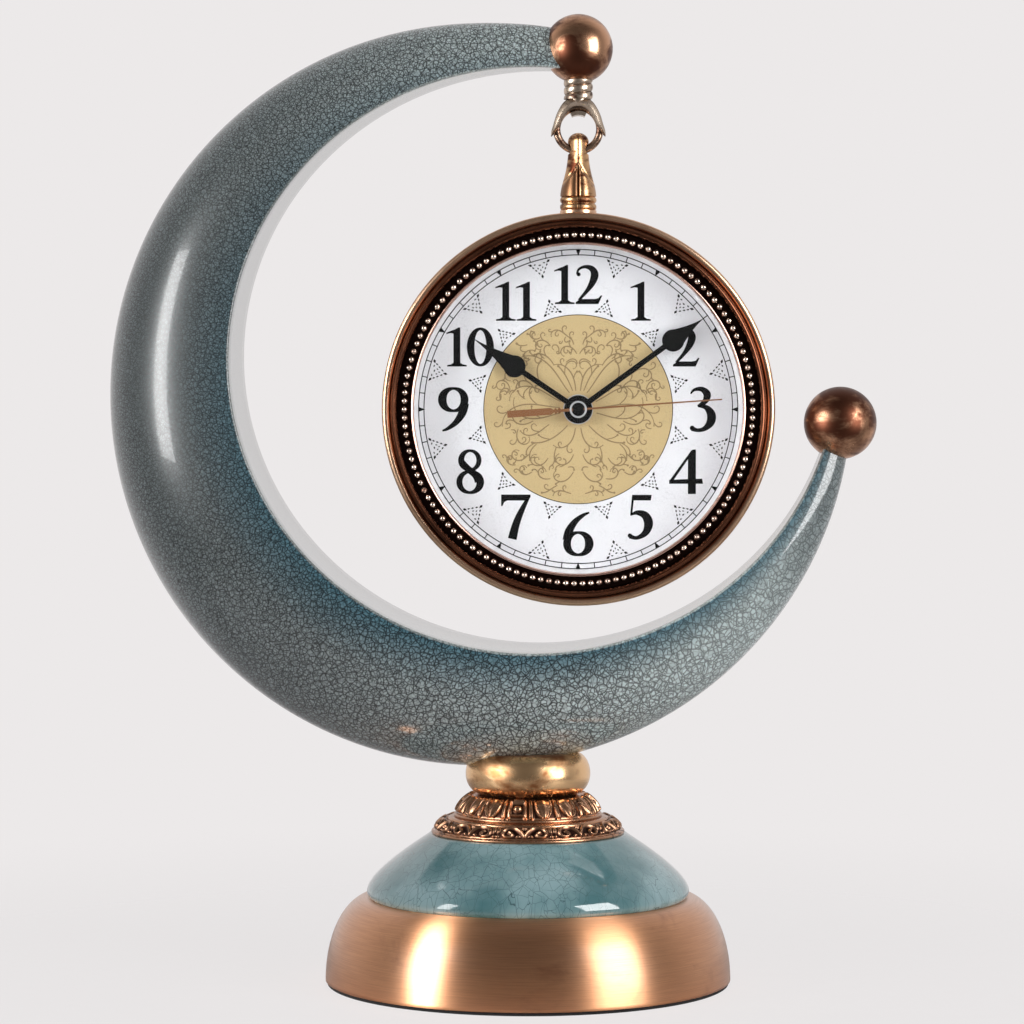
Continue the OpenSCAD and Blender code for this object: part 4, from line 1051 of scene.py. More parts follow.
@dataclass
class Foot:
    """The base: felt, dome, glazed collar, pillow and what is inside; sizes in millimetres."""

    base_r: float = 88.0
    felt_h: float = 1.5
    dome_top_r: float = 69.0
    dome_top_z: float = 37.4
    dome_wall: float = 1.4
    collar_r: float = 70.0
    collar_h: float = 27.5
    collar_top_r: float = 42.4
    lip_h: float = 2.6
    tuck: float = 1.2
    collar_wall: float = 5.0
    collar_share: tuple[Point, ...] = ((0, 0), (0.02, 0.24), (0.465, 0.62), (1, 1))
    pillow_z: float = 82.2
    pillow_r: float = 27.1
    pillow_mid: float = 8.6
    pillow_h: float = 17.8
    pillow_round: float = 6.6
    rod_r: float = 4.5
    steps: int = 180
    hidden: dict[str, Finish] = field(default_factory=lambda: {
        "felt_pad": FELT, "bottom_board": BOARD, "base_weight": CAST_IRON, "tie_rod": ZINC, "rod_nut": ZINC,
        "rod_washer": ZINC, "anchor_plug": PLASTER, "tee_nut": ZINC})

    def shell(self, name: str, profile: Profile, finish: Finish, node: str) -> None:
        """Spins one closed outline about the axis and settles it in place of its node."""
        bm = bmesh.new()
        lathe(bm, profile, self.steps, closed=True)
        settle(name, bm, finish, Body.STAND, (node,))

    def build_dome(self) -> None:
        """Spins the copper dome."""
        centre = (self.dome_top_r, self.felt_h)
        rx, rz = self.base_r - self.dome_top_r, self.dome_top_z - self.felt_h
        outer = arc(centre, rx, rz, 0, 90, 40)
        inner = arc(centre, rx - self.dome_wall, rz - self.dome_wall, 90, 0, 16)
        bore = [(self.rod_r, self.dome_top_z), (self.rod_r, self.dome_top_z - self.dome_wall)]
        self.shell("copper_dome", outer + bore + inner, BRUSHED_COPPER, "base_dome")

    def build_collar(self) -> None:
        """Spins the glazed collar."""
        low, high = self.dome_top_z, self.dome_top_z + self.collar_h
        lip = low + self.lip_h
        inside = self.collar_r - self.collar_wall
        foot = arc((self.collar_r - self.tuck, lip), self.tuck, self.lip_h, -90, 0, 12)
        outer = curve((self.collar_r, lip), (self.collar_top_r, high), self.collar_share, 48)
        inner = curve((inside, lip), (self.collar_top_r - self.collar_wall, high - self.collar_wall),
                      self.collar_share, 12)
        bore = [(self.rod_r, high), (self.rod_r, high - self.collar_wall)]
        self.shell("teal_collar", foot + outer + bore + inner[::-1] + [(inside, low)], COLLAR_GLAZE,
                   "glazed_collar")

    def build_pillow(self) -> None:
        """Spins the pillow ring, whose top runs on into the crescent."""
        centre = (self.pillow_r - self.pillow_round, self.pillow_z + self.pillow_mid)
        side = arc(centre, self.pillow_round, self.pillow_mid, -90, 0, 16)
        side += arc(centre, self.pillow_round, self.pillow_h - self.pillow_mid, 0, 90, 16)[1:]
        ends = (self.rod_r, self.pillow_z), (self.rod_r, self.pillow_z + self.pillow_h)
        self.shell("gold_pillow", [ends[0], *side, ends[1]], ANTIQUE_GOLD, "pillow_ring")

    def build(self) -> None:
        """Builds the shells and dresses the hidden nodes."""
        self.build_dome()
        self.build_collar()
        self.build_pillow()
        for node, finish in self.hidden.items():
            dress(node, finish)


@dataclass
class LeafRing:
    """The cast ring of two tiers: scrolls below, leaves and bars above; sizes in millimetres."""

    foot_z: float = 64.9
    flange_r: float = 42.0
    edge_h: float = 1.6
    band_h: float = 7.4
    tier_r: float = 32.2
    tier_edge: float = 2.6
    height: float = 17.3
    top_r: float = 24.4
    share: tuple[Point, ...] = ((0, 0), (0.1, 0.4), (0.5, 0.8), (1, 1))
    steps: int = 720
    scroll_cells: int = 20
    leaf_cells: int = 16
    panel_every: int = 4
    turn: float = -98.6
    scroll_relief: float = 1.25
    leaf_relief: float = 1.7
    scroll_half: float = 0.8
    band_r: float = 39.5
    band_reach: float = 8.6
    scroll: tuple[Point, ...] = (
        (-6.4, 1.6), (-4.8, 4.6), (-2.2, 6.9), (1.2, 6.8), (3.2, 4.8), (2.6, 2.2), (0.2, 1.6), (-0.8, 3.2), (0.4, 4.4))
    drops: tuple[tuple[float, float, float, float], ...] = (
        (5.2, 5.4, 1.0, 2.0), (-3.6, 1.9, 1.2, 0.9), (5.4, 1.7, 1.0, 0.9), (-5.6, 6.6, 0.8, 0.8))

    def profile(self) -> list[tuple[Point, str, float]]:
        """The ring's outline from the foot up, with the tier and the share of its height at each point."""
        z0 = self.foot_z
        ledge = z0 + self.band_h
        shown: list[tuple[Point, str, float]] = [((self.flange_r - 3.0, z0), "edge", 0.0)]
        edge = arc((self.flange_r - 0.8, z0 + 0.8), 0.8, 0.8, -90, 60, 8)
        shown += [(p, "edge", 0.0) for p in edge]
        band = curve((self.flange_r - 0.7, z0 + self.edge_h + 0.3), (self.tier_r + 3.4, ledge), self.share, 30)
        shown += [(p, "band", i / 30) for i, p in enumerate(band)]
        shown += [((self.tier_r + 1.2, ledge), "edge", 0.0), ((self.tier_r - 0.2, ledge), "edge", 0.0)]
        bead = arc((self.tier_r - 0.7, ledge + 0.75), 0.7, 0.75, -90, 80, 6)
        shown += [(p, "edge", 0.0) for p in bead]
        tier_foot = (self.tier_r - 0.6, ledge + self.tier_edge * 0.65)
        tier = curve(tier_foot, (self.top_r, z0 + self.height), self.share, 34)
        shown += [(p, "tier", i / 34) for i, p in enumerate(tier)]
        shown.append(((self.top_r - 4.0, z0 + self.height), "edge", 0.0))
        return shown

    def scroll_height(self, turn: float, share: float, scroll: list[Point]) -> tuple[float, float]:
        """Relief of the lower band.

        Args:
            turn: position round the ring, in cells.
            share: share of the band's height.
            scroll: the smoothed scroll line.

        Returns:
            The height, and how deep in a hollow the point lies.
        """
        width = math.tau * self.band_r / self.scroll_cells
        cell, number = math.modf(turn)
        x = (cell - 0.5) * width * (1 if int(number) % 2 else -1)
        y = share * self.band_reach
        ridge = hump(away_from((x, y), scroll), 0.0, self.scroll_half)
        for cx, cy, rx, ry in self.drops:
            reach = math.hypot((x - cx) / rx, (y - cy) / ry)
            ridge = max(ridge, 0.85 * math.sqrt(max(0.0, 1.0 - reach * reach)))
        fade = min(1.0, 9.0 * share, 9.0 * (1.0 - share))
        return self.scroll_relief * ridge * fade, min(1.0, 1.4 * (1.0 - ridge)) * fade

    def leaf_height(self, turn: float, share: float) -> tuple[float, float]:
        """Relief of the upper tier; see scroll_height."""
        cell, number = math.modf(turn)
        across = abs(cell - 0.5) * 2
        fade = min(1.0, 10.0 * share, 8.0 * (1.0 - share))
        if int(number) % self.panel_every == 0:
            bars = hump(across, 0.62, 0.11) + hump(across, 0.95, 0.08)
            rose = math.sqrt(max(0.0, 1.0 - (across / 0.36) ** 2 - ((share - 0.5) / 0.16) ** 2))
            crown = hump(share, 0.83, 0.05) + hump(share, 0.2, 0.05)
            high = max(min(bars, 1.0), rose, 0.8 * crown * (across < 0.55))
            return self.leaf_relief * high * fade, (1.0 - min(high * 1.4, 1.0)) * fade
        half = 0.58 * math.sqrt(min(1.0, max(0.0, (share - 0.06) / 0.5)))
        rim = hump(across - half, 0.05, 0.075) if half else 0.0
        pad = 0.62 + 0.2 * math.cos(math.pi * across / max(half, 0.05)) if across < half else 0.0
        bar = hump(across, 0.93, 0.09) * 0.8
        high = max(rim, pad, bar)
        hollow = 0.1 if across < half else 1.0 - min(1.3 * high, 1.0)
        return self.leaf_relief * high * fade, hollow * fade

    def build(self) -> Object:
        """Lays the outline round the axis with the relief on it."""
        outline = self.profile()
        places = [Vector((p[0], p[1])) for p, _, _ in outline]
        normals = []
        for i in range(len(places)):
            way = (places[min(i + 1, len(places) - 1)] - places[max(i - 1, 0)]).normalized()
            normals.append(Vector((way.y, -way.x)))
        scroll = smooth_path(self.scroll, 4)
        repeats = {"edge": 1, "band": 2 * self.steps // self.scroll_cells,
                   "tier": self.panel_every * self.steps // self.leaf_cells}
        known: dict[tuple[int, int], tuple[float, float]] = {}

        def relief(k: int, i: int) -> tuple[float, float]:
            """Height and hollow of one point, in the first repeat of its pattern."""
            _, tier, share = outline[i]
            if tier == "band":
                return self.scroll_height(k / self.steps * self.scroll_cells, share, scroll)
            return self.leaf_height(k / self.steps * self.leaf_cells, share) if tier == "tier" else (0.0, 0.25)

        def put(k: int, i: int) -> tuple[Vector, float]:
            """Place and hollow of one point."""
            tier = outline[i][1]
            key = (k % self.steps % repeats[tier], i)
            if key not in known:
                known[key] = relief(*key)
            high, hollow = known[key]
            r, z = places[i] + normals[i] * (high - 1.0 * (tier != "edge"))
            return about_axis(r, math.tau * (k % self.steps) / self.steps, z), hollow

        bm = bmesh.new()
        sweep(bm, put, self.steps, len(outline), False, "hollow")
        to_metres(bm, Matrix.Rotation(math.radians(self.turn - 180 / self.leaf_cells), 4, "Z"))
        bmesh.ops.remove_doubles(bm, verts=bm.verts, dist=MERGE)
        close_holes(bm)
        split_large(bm)
        return settle("leaf_casting", bm, ANTIQUE_COPPER, Body.STAND, ("leaf_ring",))


@dataclass
class HornBalls:
    """The balls on both horns."""

    segments: int = 72
    rings: int = 48

    def build(self) -> None:
        """Builds each ball in the box of its CAD node."""
        for node, name in (("ball_top", "brass_ball_top"), ("ball_right", "brass_ball_right")):
            low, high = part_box(node)
            radius = max(high - low) / 2
            centre = Vector((high.x - radius, 0.0, high.z - radius))
            bm = bmesh.new()
            bmesh.ops.create_uvsphere(bm, u_segments=self.segments, v_segments=self.rings, radius=radius)
            bmesh.ops.translate(bm, vec=centre, verts=bm.verts)
            settle(name, bm, ANTIQUE_BRASS, Body.STAND, (node,))


@dataclass
class Hanger:
    """The fork under the upper ball, with its rope neck, and the ring in it; sizes in millimetres."""

    neck_top: float = 390.2
    neck_h: float = 7.0
    neck_r: float = 6.3
    roll: float = 0.95
    pitch: float = 3.5
    roof_t: float = 2.2
    prong_t: float = 2.5
    slot_half: float = 1.93
    saddle_w: float = 7.0
    saddle_t: float = 1.8
    saddle_gap: float = 0.08
    ring_in: float = 7.69
    ring_drop: float = 11.25
    # points across an arch: place across, rise, and how much the casting is darkened there
    ridge: tuple[StrokePoint, ...] = (
        (-1.0, 0.0, 1.0), (-1.0, 0.4, 0.9), (-0.8, 0.6, 0.25), (0.0, 1.0, 0.0), (0.8, 0.6, 0.25), (1.0, 0.4, 0.9),
        (1.0, 0.0, 1.0))
    arch: tuple[StrokePoint, ...] = (
        (-11.7, -14.2, 0.3), (-10.8, -12.3, 1.7), (-9.4, -9.6, 2.7), (-7.7, -5.5, 3.5), (-5.1, -1.6, 4.2),
        (-2.5, 0.1, 4.5), (0.0, 0.5, 4.5), (2.5, 0.1, 4.5), (5.1, -1.6, 4.2), (7.7, -5.5, 3.5), (9.4, -9.6, 2.7),
        (10.8, -12.3, 1.7), (11.7, -14.2, 0.3))

    def build_neck(self, bm: BMesh) -> None:
        """Adds the neck, with one coil wound round it."""
        low = self.neck_top - self.neck_h - 0.6
        rows, points = 48, 72

        def put(k: int, i: int) -> tuple[Vector, float]:
            """Place and hollow of one point."""
            z = low + (self.neck_h + 1.4) * k / rows
            phase = math.modf((z - low) / self.pitch - i / points + 1)[0]
            bulge = math.sqrt(max(0.0, 1.0 - (2 * phase - 1) ** 2))
            r = self.neck_r - self.roll * (1.0 - bulge)
            return about_axis(r, math.tau * i / points, z), 1.0 - bulge

        sweep(bm, put, rows, points, True, "hollow")

    def build_prongs(self, bm: BMesh) -> None:
        """Adds the front and back arch, each with a ridge along its middle."""
        slot = self.neck_top - self.neck_h - self.roof_t
        path = smooth_path(self.arch, 6)
        for way in (1, -1):

            def put(k: int, i: int, way: int = way) -> tuple[Vector, float]:
                """Place of one point, and how much it is darkened: full along the arch's edges, none on its crest."""
                x, z, width = path[k]
                before, after = path[max(k - 1, 0)], path[min(k + 1, len(path) - 1)]
                along = Vector((after[0] - before[0], after[1] - before[1])).normalized()
                across, rise, hollow = self.ridge[i]
                reach, deep = across * width / 2, rise * self.prong_t * min(1.0, 0.4 + width / 6)
                return Vector((x - along.y * reach, -way * (self.slot_half + deep), slot + z + along.x * reach)), hollow

            sweep(bm, put, len(path) - 1, len(self.ridge), True, "hollow")

    def build_saddle(self, bm: BMesh) -> None:
        """Adds the roof over the ring and the bar that carries it."""
        roof = self.neck_top - self.neck_h
        slot = roof - self.roof_t
        lathe(bm, [(0, slot), (4.2, slot), (4.4, slot + 0.2), (4.4, roof + 1.0), (0, roof + 1.0)], 48, unit=1.0)
        ring_z = slot - self.ring_drop
        reach = math.degrees(math.asin(self.saddle_w / 2 / self.ring_in))
        top, under = self.ring_in - self.saddle_gap, self.ring_in - self.saddle_t
        outer = arc((0.0, ring_z), top, top, 90 - reach, 90 + reach, 14)
        inner = arc((0.0, ring_z), under, under, 90 + reach, 90 - reach, 14)
        depth = self.slot_half + self.prong_t - 0.5
        face = bm.faces.new([bm.verts.new((x, -depth, z)) for x, z in outer + inner])
        thicken(bm, [face], (0.0, 2 * depth, 0.0))

    def build(self) -> None:
        """Builds the fork and dresses the ring."""
        bm = bmesh.new()
        self.build_prongs(bm)
        self.build_neck(bm)
        self.build_saddle(bm)
        split_large(bm)
        centre = middle_of("hang_ring").x
        to_metres(bm, Matrix.Translation((centre, 0.0, 0.0)))
        fork = settle("hanger_fork_casting", bm, FORK_BRONZE, Body.STAND, ("hanger_fork",))
        sharpen(fork)
        dress("hang_ring", RING_BRONZE)


def sharpen(piece: Object, angle: float = 38.0) -> None:
    """Keeps edges sharper than an angle sharp on a smooth piece."""
    bm = bmesh.new()
    bm.from_mesh(piece.data)
    for edge in bm.edges:
        edge.smooth = not (len(edge.link_faces) == 2 and edge.calc_face_angle(0.0) > math.radians(angle))
    bm.to_mesh(piece.data)
    bm.free()


@dataclass
class Finial:
    """The leaf shaped finial with the eye for the ring; sizes in millimetres."""

    foot_z: float = 334.658
    foot_r: float = 7.9
    ring_h: float = 3.0
    groove: float = 0.7
    waist_r: float = 4.5
    eye_z: float = 361.158
    eye_r: float = 2.44
    margin: float = 0.6
    tip_h: float = 7.0
    share: tuple[Point, ...] = ((0, 0), (0.1, 0.34), (0.75, 0.45), (1, 1))
    chevron: float = 18.4
    points: int = 120

    def profile(self) -> Profile:
        """The outline from the foot to the tip."""
        shown: Profile = [(0.0, self.foot_z)]
        for i in range(2):
            low = self.foot_z + i * self.ring_h
            shown += [(self.foot_r - self.groove, low)]
            shown += arc((self.foot_r - 0.9, low + self.ring_h / 2), 0.9, self.ring_h / 2 - 0.15, -75, 75, 9)
        top = self.foot_z + 2 * self.ring_h
        shown.append((self.foot_r - self.groove, top))
        shown += curve((self.foot_r - 0.1, top + 0.1), (self.waist_r, self.eye_z - self.eye_r - self.margin),
                       self.share, 40)
        brow = self.eye_z + self.eye_r + self.margin
        shown += [(self.waist_r, self.eye_z + 0.5 * dz) for dz in range(-5, 6)]
        shown += arc((0.0, brow), self.waist_r, self.eye_z + self.tip_h - brow, 0, 86, 20)
        return shown

    def relief(self, x: float, z: float, radius: float) -> tuple[float, float]:
        """Relief of the leaf on the front and back.

        Args:
            x: distance from the middle line.
            z: height above the foot.
            radius: radius of the body there.

        Returns:
            Height, and the darkening mark: patina in the seam and grooves, and painted shade down the left side.
        """
        side = min(abs(x) / max(radius, 0.5), 1.0)
        seam = hump(x, 0.0, 0.4)
        if z < 2 * self.ring_h:
            return -0.3 * seam, seam * 0.7
        collar = self.chevron - 1.1 * abs(x)
        below = 1.0 / (1.0 + math.exp(-(collar - z) / 0.25))
        groove = hump(z, collar, 0.3) + 0.8 * hump(z - collar, 1.5, 0.3)
        lobe = 0.9 * math.sin(math.pi * side ** 0.8) - 0.9 * seam
        facet = 0.6 - 1.5 * side
        high = below * lobe + (1.0 - below) * facet - 0.55 * groove
        # painted shade: the left half is darkened through the hollow mark, 0.8 on the lower lobes against 0.3 on the
        # right, and 0.25 on the left upper facet
        shade = 0.8 if x < 0 else 0.3
        hollow = max(0.9 * seam * (0.3 + 0.7 * below), 0.9 * groove, below * shade, (1.0 - below) * 0.25 * (x < 0))
        return high - 0.3, min(hollow, 1.0)

    def build(self) -> Object:
        """Lays rings up the outline and cuts the eye."""
        outline = self.profile()

        def put(k: int, i: int) -> tuple[Vector, float]:
            """Place of one point, and its mark of patina and painted shade."""
            r, z = outline[k]
            a = math.tau * i / self.points
            high, hollow = self.relief(r * math.cos(a), z - self.foot_z, r)
            r = max(r + high * abs(math.sin(a)) * (r > 2.0), 0.0)
            return about_axis(r, a, z), hollow

        bm = bmesh.new()
        sweep(bm, put, len(outline) - 1, self.points, True, "hollow")
        bmesh.ops.remove_doubles(bm, verts=bm.verts, dist=0.002)
        split_large(bm)
        centre = middle_of("finial").x
        to_metres(bm, Matrix.Translation((centre, 0.0, 0.0)))
        piece = settle("leaf_finial", bm, FINIAL_GOLD, Body.CLOCK, ("finial",))
        cutter_bm = bmesh.new()
        bmesh.ops.create_cone(cutter_bm, cap_ends=True, segments=48, radius1=self.eye_r * MM, radius2=self.eye_r * MM,
                              depth=4 * self.foot_r * MM, matrix=Matrix.Translation((centre, 0.0, self.eye_z * MM))
                              @ Matrix.Rotation(math.radians(90), 4, "Y"))
        cutter = add_object("eye_cutter", cutter_bm)
        drill = piece.modifiers.new("eye", "BOOLEAN")
        drill.operation = "DIFFERENCE"
        drill.solver = "EXACT"
        drill.object = cutter
        drilled = bpy.data.meshes.new_from_object(piece.evaluated_get(bpy.context.evaluated_depsgraph_get()))
        piece.modifiers.remove(drill)
        piece.data = drilled
        bpy.data.objects.remove(cutter)
        sharpen(piece, 50.0)
        return piece


@dataclass(frozen=True)
class Glyph:
    """One numeral in a box one unit high: pen strokes, closed strokes and cut plates."""

    strokes: Strokes = ()
    loops: Strokes = ()
    plates: tuple[tuple[Point, ...], ...] = ()
    balls: tuple[StrokePoint, ...] = ()
    advance: float = 0.7
    tall: bool = True


def oval(x: float, y: float, rx: float, ry: float, sides: Point, ends: float) -> tuple[StrokePoint, ...]:
    """Closed stroke round an oval: pen widths at its left and right side, and at its ends."""
    shown = []
    for i in range(12):
        t = math.tau * i / 12
        across = math.cos(t)
        side = sides[1] if across > 0 else sides[0]
        shown.append((x + rx * across, y + ry * math.sin(t), ends + (side - ends) * abs(across) ** 1.5))
    return tuple(shown)


SIX = Glyph(
    strokes=(((0.6, 0.985, 0.035), (0.47, 0.93, 0.07), (0.29, 0.79, 0.115), (0.15, 0.58, 0.16), (0.095, 0.36, 0.17)),),
    loops=(oval(0.35, 0.285, 0.25, 0.25, (0.155, 0.17), 0.055),))


def turned_over(lines: Strokes, width: float) -> Strokes:
    """A glyph's lines turned by half a turn in its box."""
    return tuple(tuple((width - x, 1 - y, w) for x, y, w in line) for line in lines)


GLYPHS: dict[str, Glyph] = {
    "0": Glyph(loops=(oval(0.34, 0.5, 0.25, 0.465, (0.17, 0.17), 0.06),), tall=False),
    "1": Glyph(plates=(
        ((0.18, 0.03), (0.355, 0.03), (0.355, 1.0), (0.31, 1.0), (0.18, 0.93)),
        ((0.0, 0.865), (0.0, 0.83), (0.1, 0.855), (0.2, 0.84), (0.2, 0.95)),
        ((0.02, 0.0), (0.52, 0.0), (0.52, 0.04), (0.42, 0.055), (0.355, 0.1), (0.18, 0.1), (0.12, 0.055),
         (0.02, 0.04)),
    ), advance=0.53, tall=False),
    "2": Glyph(
        strokes=(((0.055, 0.76, 0.05), (0.1, 0.89, 0.055), (0.26, 0.955, 0.075), (0.43, 0.905, 0.13),
                  (0.505, 0.76, 0.175), (0.45, 0.56, 0.15), (0.31, 0.34, 0.09), (0.1, 0.1, 0.055)),),
        plates=(((0.02, 0.0), (0.6, 0.0), (0.7, 0.215), (0.665, 0.225), (0.6, 0.15), (0.5, 0.13), (0.14, 0.13),
                 (0.02, 0.05)),),
        balls=((0.095, 0.76, 0.05),), advance=0.72, tall=False),
    "3": Glyph(
        strokes=(((0.04, 0.85, 0.03), (0.12, 0.94, 0.06), (0.29, 0.955, 0.1), (0.41, 0.84, 0.15), (0.36, 0.68, 0.11),
                  (0.2, 0.575, 0.045)),
                 ((0.2, 0.58, 0.045), (0.38, 0.55, 0.1), (0.5, 0.4, 0.17), (0.49, 0.22, 0.165), (0.36, 0.075, 0.1),
                  (0.2, 0.035, 0.075), (0.07, 0.075, 0.1))),
        balls=((0.075, 0.085, 0.055),)),
    "4": Glyph(plates=(
        ((0.42, 0.0), (0.6, 0.0), (0.6, 1.0), (0.55, 1.0), (0.42, 0.84)),
        ((0.0, 0.23), (0.76, 0.23), (0.74, 0.345), (0.0, 0.32)),
        ((0.0, 0.29), (0.085, 0.29), (0.45, 0.82), (0.55, 1.0), (0.5, 0.985)))),
    "5": Glyph(
        strokes=(((0.1, 0.55, 0.03), (0.24, 0.6, 0.09), (0.42, 0.54, 0.155), (0.5, 0.36, 0.18), (0.43, 0.15, 0.13),
                  (0.24, 0.035, 0.075), (0.08, 0.07, 0.09)),),
        plates=(((0.13, 1.0), (0.57, 1.0), (0.55, 0.875), (0.14, 0.875)),
                ((0.085, 0.54), (0.13, 0.53), (0.17, 0.9), (0.13, 1.0))),
        balls=((0.08, 0.085, 0.05),)),
    "6": SIX,
    "7": Glyph(
        strokes=(((0.63, 0.93, 0.06), (0.47, 0.62, 0.115), (0.35, 0.32, 0.15), (0.27, 0.0, 0.175)),),
        plates=(((0.02, 1.0), (0.68, 1.0), (0.68, 0.94), (0.62, 0.865), (0.16, 0.865), (0.09, 0.83), (0.05, 0.74),
                 (0.02, 0.74)),)),
    "8": Glyph(
        strokes=(((0.13, 0.72, 0.13), (0.27, 0.57, 0.13), (0.45, 0.42, 0.14), (0.51, 0.27, 0.14)),),
        loops=(oval(0.325, 0.755, 0.2, 0.215, (0.12, 0.1), 0.055),
               oval(0.32, 0.265, 0.235, 0.235, (0.12, 0.15), 0.06))),
    "9": Glyph(strokes=turned_over(SIX.strokes, 0.68), loops=turned_over(SIX.loops, 0.68)),
}


@dataclass(frozen=True)
class Curl:
    """One engraved scroll line on the gold disc, whose turn changes along its length."""

    x: float
    y: float
    heading: float
    length: float
    turn_start: float
    turn_end: float
    width: float = 0.6
    steps: int = 22
    twigs: tuple[StrokePoint, ...] = ((0.3, 32.0, 0.5), (0.55, -36.0, 0.42), (0.78, 34.0, 0.3))
    twig_turn: float = 560.0

    def branches(self) -> list["Curl"]:
        """Small leaves that grow from the line on both sides."""
        line = self.points()
        shown = []
        for share, lean, size in self.twigs:
            x, y, _ = line[round(share * self.steps)]
            bend = self.turn_start + share * (self.turn_end - self.turn_start) / 2
            way = math.copysign(1.0, lean)
            reach = self.length * size
            shown.append(Curl(x, y, self.heading + share * self.length * bend + lean, reach, 2.0 * way,
                              self.twig_turn * way / reach, self.width * 0.9))
        return shown

    def points(self, edge: float = math.inf) -> list[StrokePoint]:
        """Points of the line up to a radius at which it stops, thin at both ends."""
        x, y, a = self.x, self.y, math.radians(self.heading)
        shown = []
        for i in range(self.steps + 1):
            share = i / self.steps
            if math.hypot(x, y) > edge:
                break
            shown.append((x, y, self.width * (0.45 + 0.55 * math.sin(math.pi * (0.15 + 0.8 * share)))))
            x += math.cos(a) * self.length / self.steps
            y += math.sin(a) * self.length / self.steps
            a += math.radians(self.turn_start + (self.turn_end - self.turn_start) * share) * self.length / self.steps
        return shown


def dial_axes(clockwise: float) -> tuple[Vector, Vector]:
    """Unit vectors outwards and across at an angle from twelve, in radians."""
    return Vector((math.sin(clockwise), math.cos(clockwise))), Vector((math.cos(clockwise), -math.sin(clockwise)))


@dataclass
class Dial:
    """What is printed on the dial: track, numerals, ornaments and the gold disc; sizes in millimetres."""

    track_out: float = 69.1
    track_in: float = 66.8
    line: float = 0.42
    pen: float = 1.14
    numeral_r: float = 54.0
    short_h: float = 16.9
    tall_h: float = 19.3
    gold_r: float = 40.8
    gold_margin: float = 1.4
    pin_hole: float = 0.02
    square: float = 0.9
    shortest: int = 8
    hour_dip: float = 0.5
    hour_half: float = 1.05
    edge_line: float = 0.34
    end_dot: float = 0.95
    step_up: float = 0.01
    ink_low: float = -0.02
    ink_high: float = 0.04
    curls: tuple[Curl, ...] = tuple(Curl(*row) for row in (
        (1, 8, 84, 17, -1, -12), (2.4, 8, 68, 25, -0.4, -8), (3.8, 7.2, 52, 29, 1.6, -8), (1, 13, 40, 13, 14, 26),
        (0.6, 24, 62, 12, -6, -34), (5.6, 15, 84, 17, 3, 16), (9.4, 14, 72, 19, 3, 15), (10.4, 19, 60, 17, -3, -22),
        (12, 27.5, 52, 12, -6, -40), (3.6, 31, 30, 11, 8, -38), (14.5, 22, 20, 13, 8, 30),
        (19, 25.5, 10, 11, -10, -36), (7.6, 3.4, 26, 27, 2.2, -12), (8, 0.8, 4, 30, 1.6, -9),
        (8, -1.6, -14, 26, -1.2, 12), (19, 9, 60, 14, -6, -30), (23, 4.5, 30, 13, 6, 34),
        (29.5, 8.5, 80, 12, -8, -38), (31, -2, -50, 13, -6, -34), (17, 12.5, 74, 16, 2, 24),
        (23.5, 15.5, 40, 14, -4, -30), (19.5, -5, -30, 16, 4, 26), (26, -8.5, -70, 13, -6, -32),
        (1.2, -8, -82, 15, 2, 16), (2.8, -8, -64, 27, -1.6, -9), (4.6, -7, -46, 30, 1.2, 9),
        (2, -19.5, -70, 14, 5, 30), (6.5, -20, -96, 15, 4, 28), (9.5, -16.5, -70, 17, -4, -24),
        (13, -21, -60, 14, 6, 32), (18, -15, -40, 16, -5, -26), (22, -20, -50, 13, 8, 36), (3, -36.5, 14, 9, 6, -30),
        (9, -33, -20, 11, -10, 34), (27, -17, -76, 12, -8, -36), (33.5, 4, 70, 10, 8, 40), (2, -27, -60, 14, 3, 28),
        (5, -29, -30, 13, -4, -36), (12, -30, -10, 12, 6, 44), (20, -27, -40, 11, 10, 46), (2, 28, 80, 10, -8, -50),
        (22, 28, -20, 12, 8, 44), (28, 20, -60, 13, 6, 40), (34, 10, -80, 11, -10, -44), (27, -24, -10, 10, 12, 50),
        (12.5, -6.5, -34, 16, -3, 20), (13, 7.5, 60, 12, -8, -30), (16.5, 31, -30, 9, 14, 44)))

    def build_track(self) -> None:
        """Prints the minute track, with a small triangle at each hour."""
        ink = Print(self.ink_low, self.ink_high)
        ink.ring(self.track_out, self.line)
        ink.ring(self.track_in, self.line)
        for minute in range(60):
            out, across = dial_axes(math.tau * minute / 60)
            low, high, half = self.track_in, self.track_out, self.line * 0.5
            corners = [(low, -half), (low, half), (high, half), (high, -half)]
            if minute % 5 == 0:
                corners = [(low - self.hour_dip, 0.0), (high, self.hour_half), (high, -self.hour_half)]
            ink.plate([tuple(out * r + across * s) for r, s in corners])
        ink.finish("minute_track", INK, Body.CLOCK, "black_metal")

    def build_numerals(self) -> None:
        """Prints the twelve numerals upright round the dial."""
        ink = Print(self.ink_low, self.ink_high)
        for hour in range(1, 13):
            ink.bm.verts.ensure_lookup_table()
            before = len(ink.bm.verts)
            x = 0.0
            for digit in str(hour):
                glyph = GLYPHS[digit]
                size = self.tall_h if glyph.tall else self.short_h
                for lines, loop in ((glyph.strokes, False), (glyph.loops, True)):
                    for line in lines:
                        ink.stroke([(x + px * size, py * size, w * size * self.pen) for px, py, w in line], loop=loop)
                for plate in glyph.plates:
                    ink.plate([(x + px * size, py * size) for px, py in plate])
                for px, py, r in glyph.balls:
                    ink.disc(r * size, 16, x + px * size, py * size)
                x += glyph.advance * size
            ink.bm.verts.ensure_lookup_table()
            fresh = ink.bm.verts[before:]
            xs, ys = [v.co.x for v in fresh], [v.co.y for v in fresh]
            a = math.tau * hour / 12
            shift = (self.numeral_r * math.sin(a) - (min(xs) + max(xs)) / 2,
                     self.numeral_r * math.cos(a) - (min(ys) + max(ys)) / 2, 0.0)
            bmesh.ops.translate(ink.bm, vec=shift, verts=fresh)
        ink.finish("dial_numerals", INK, Body.CLOCK, "black_metal")

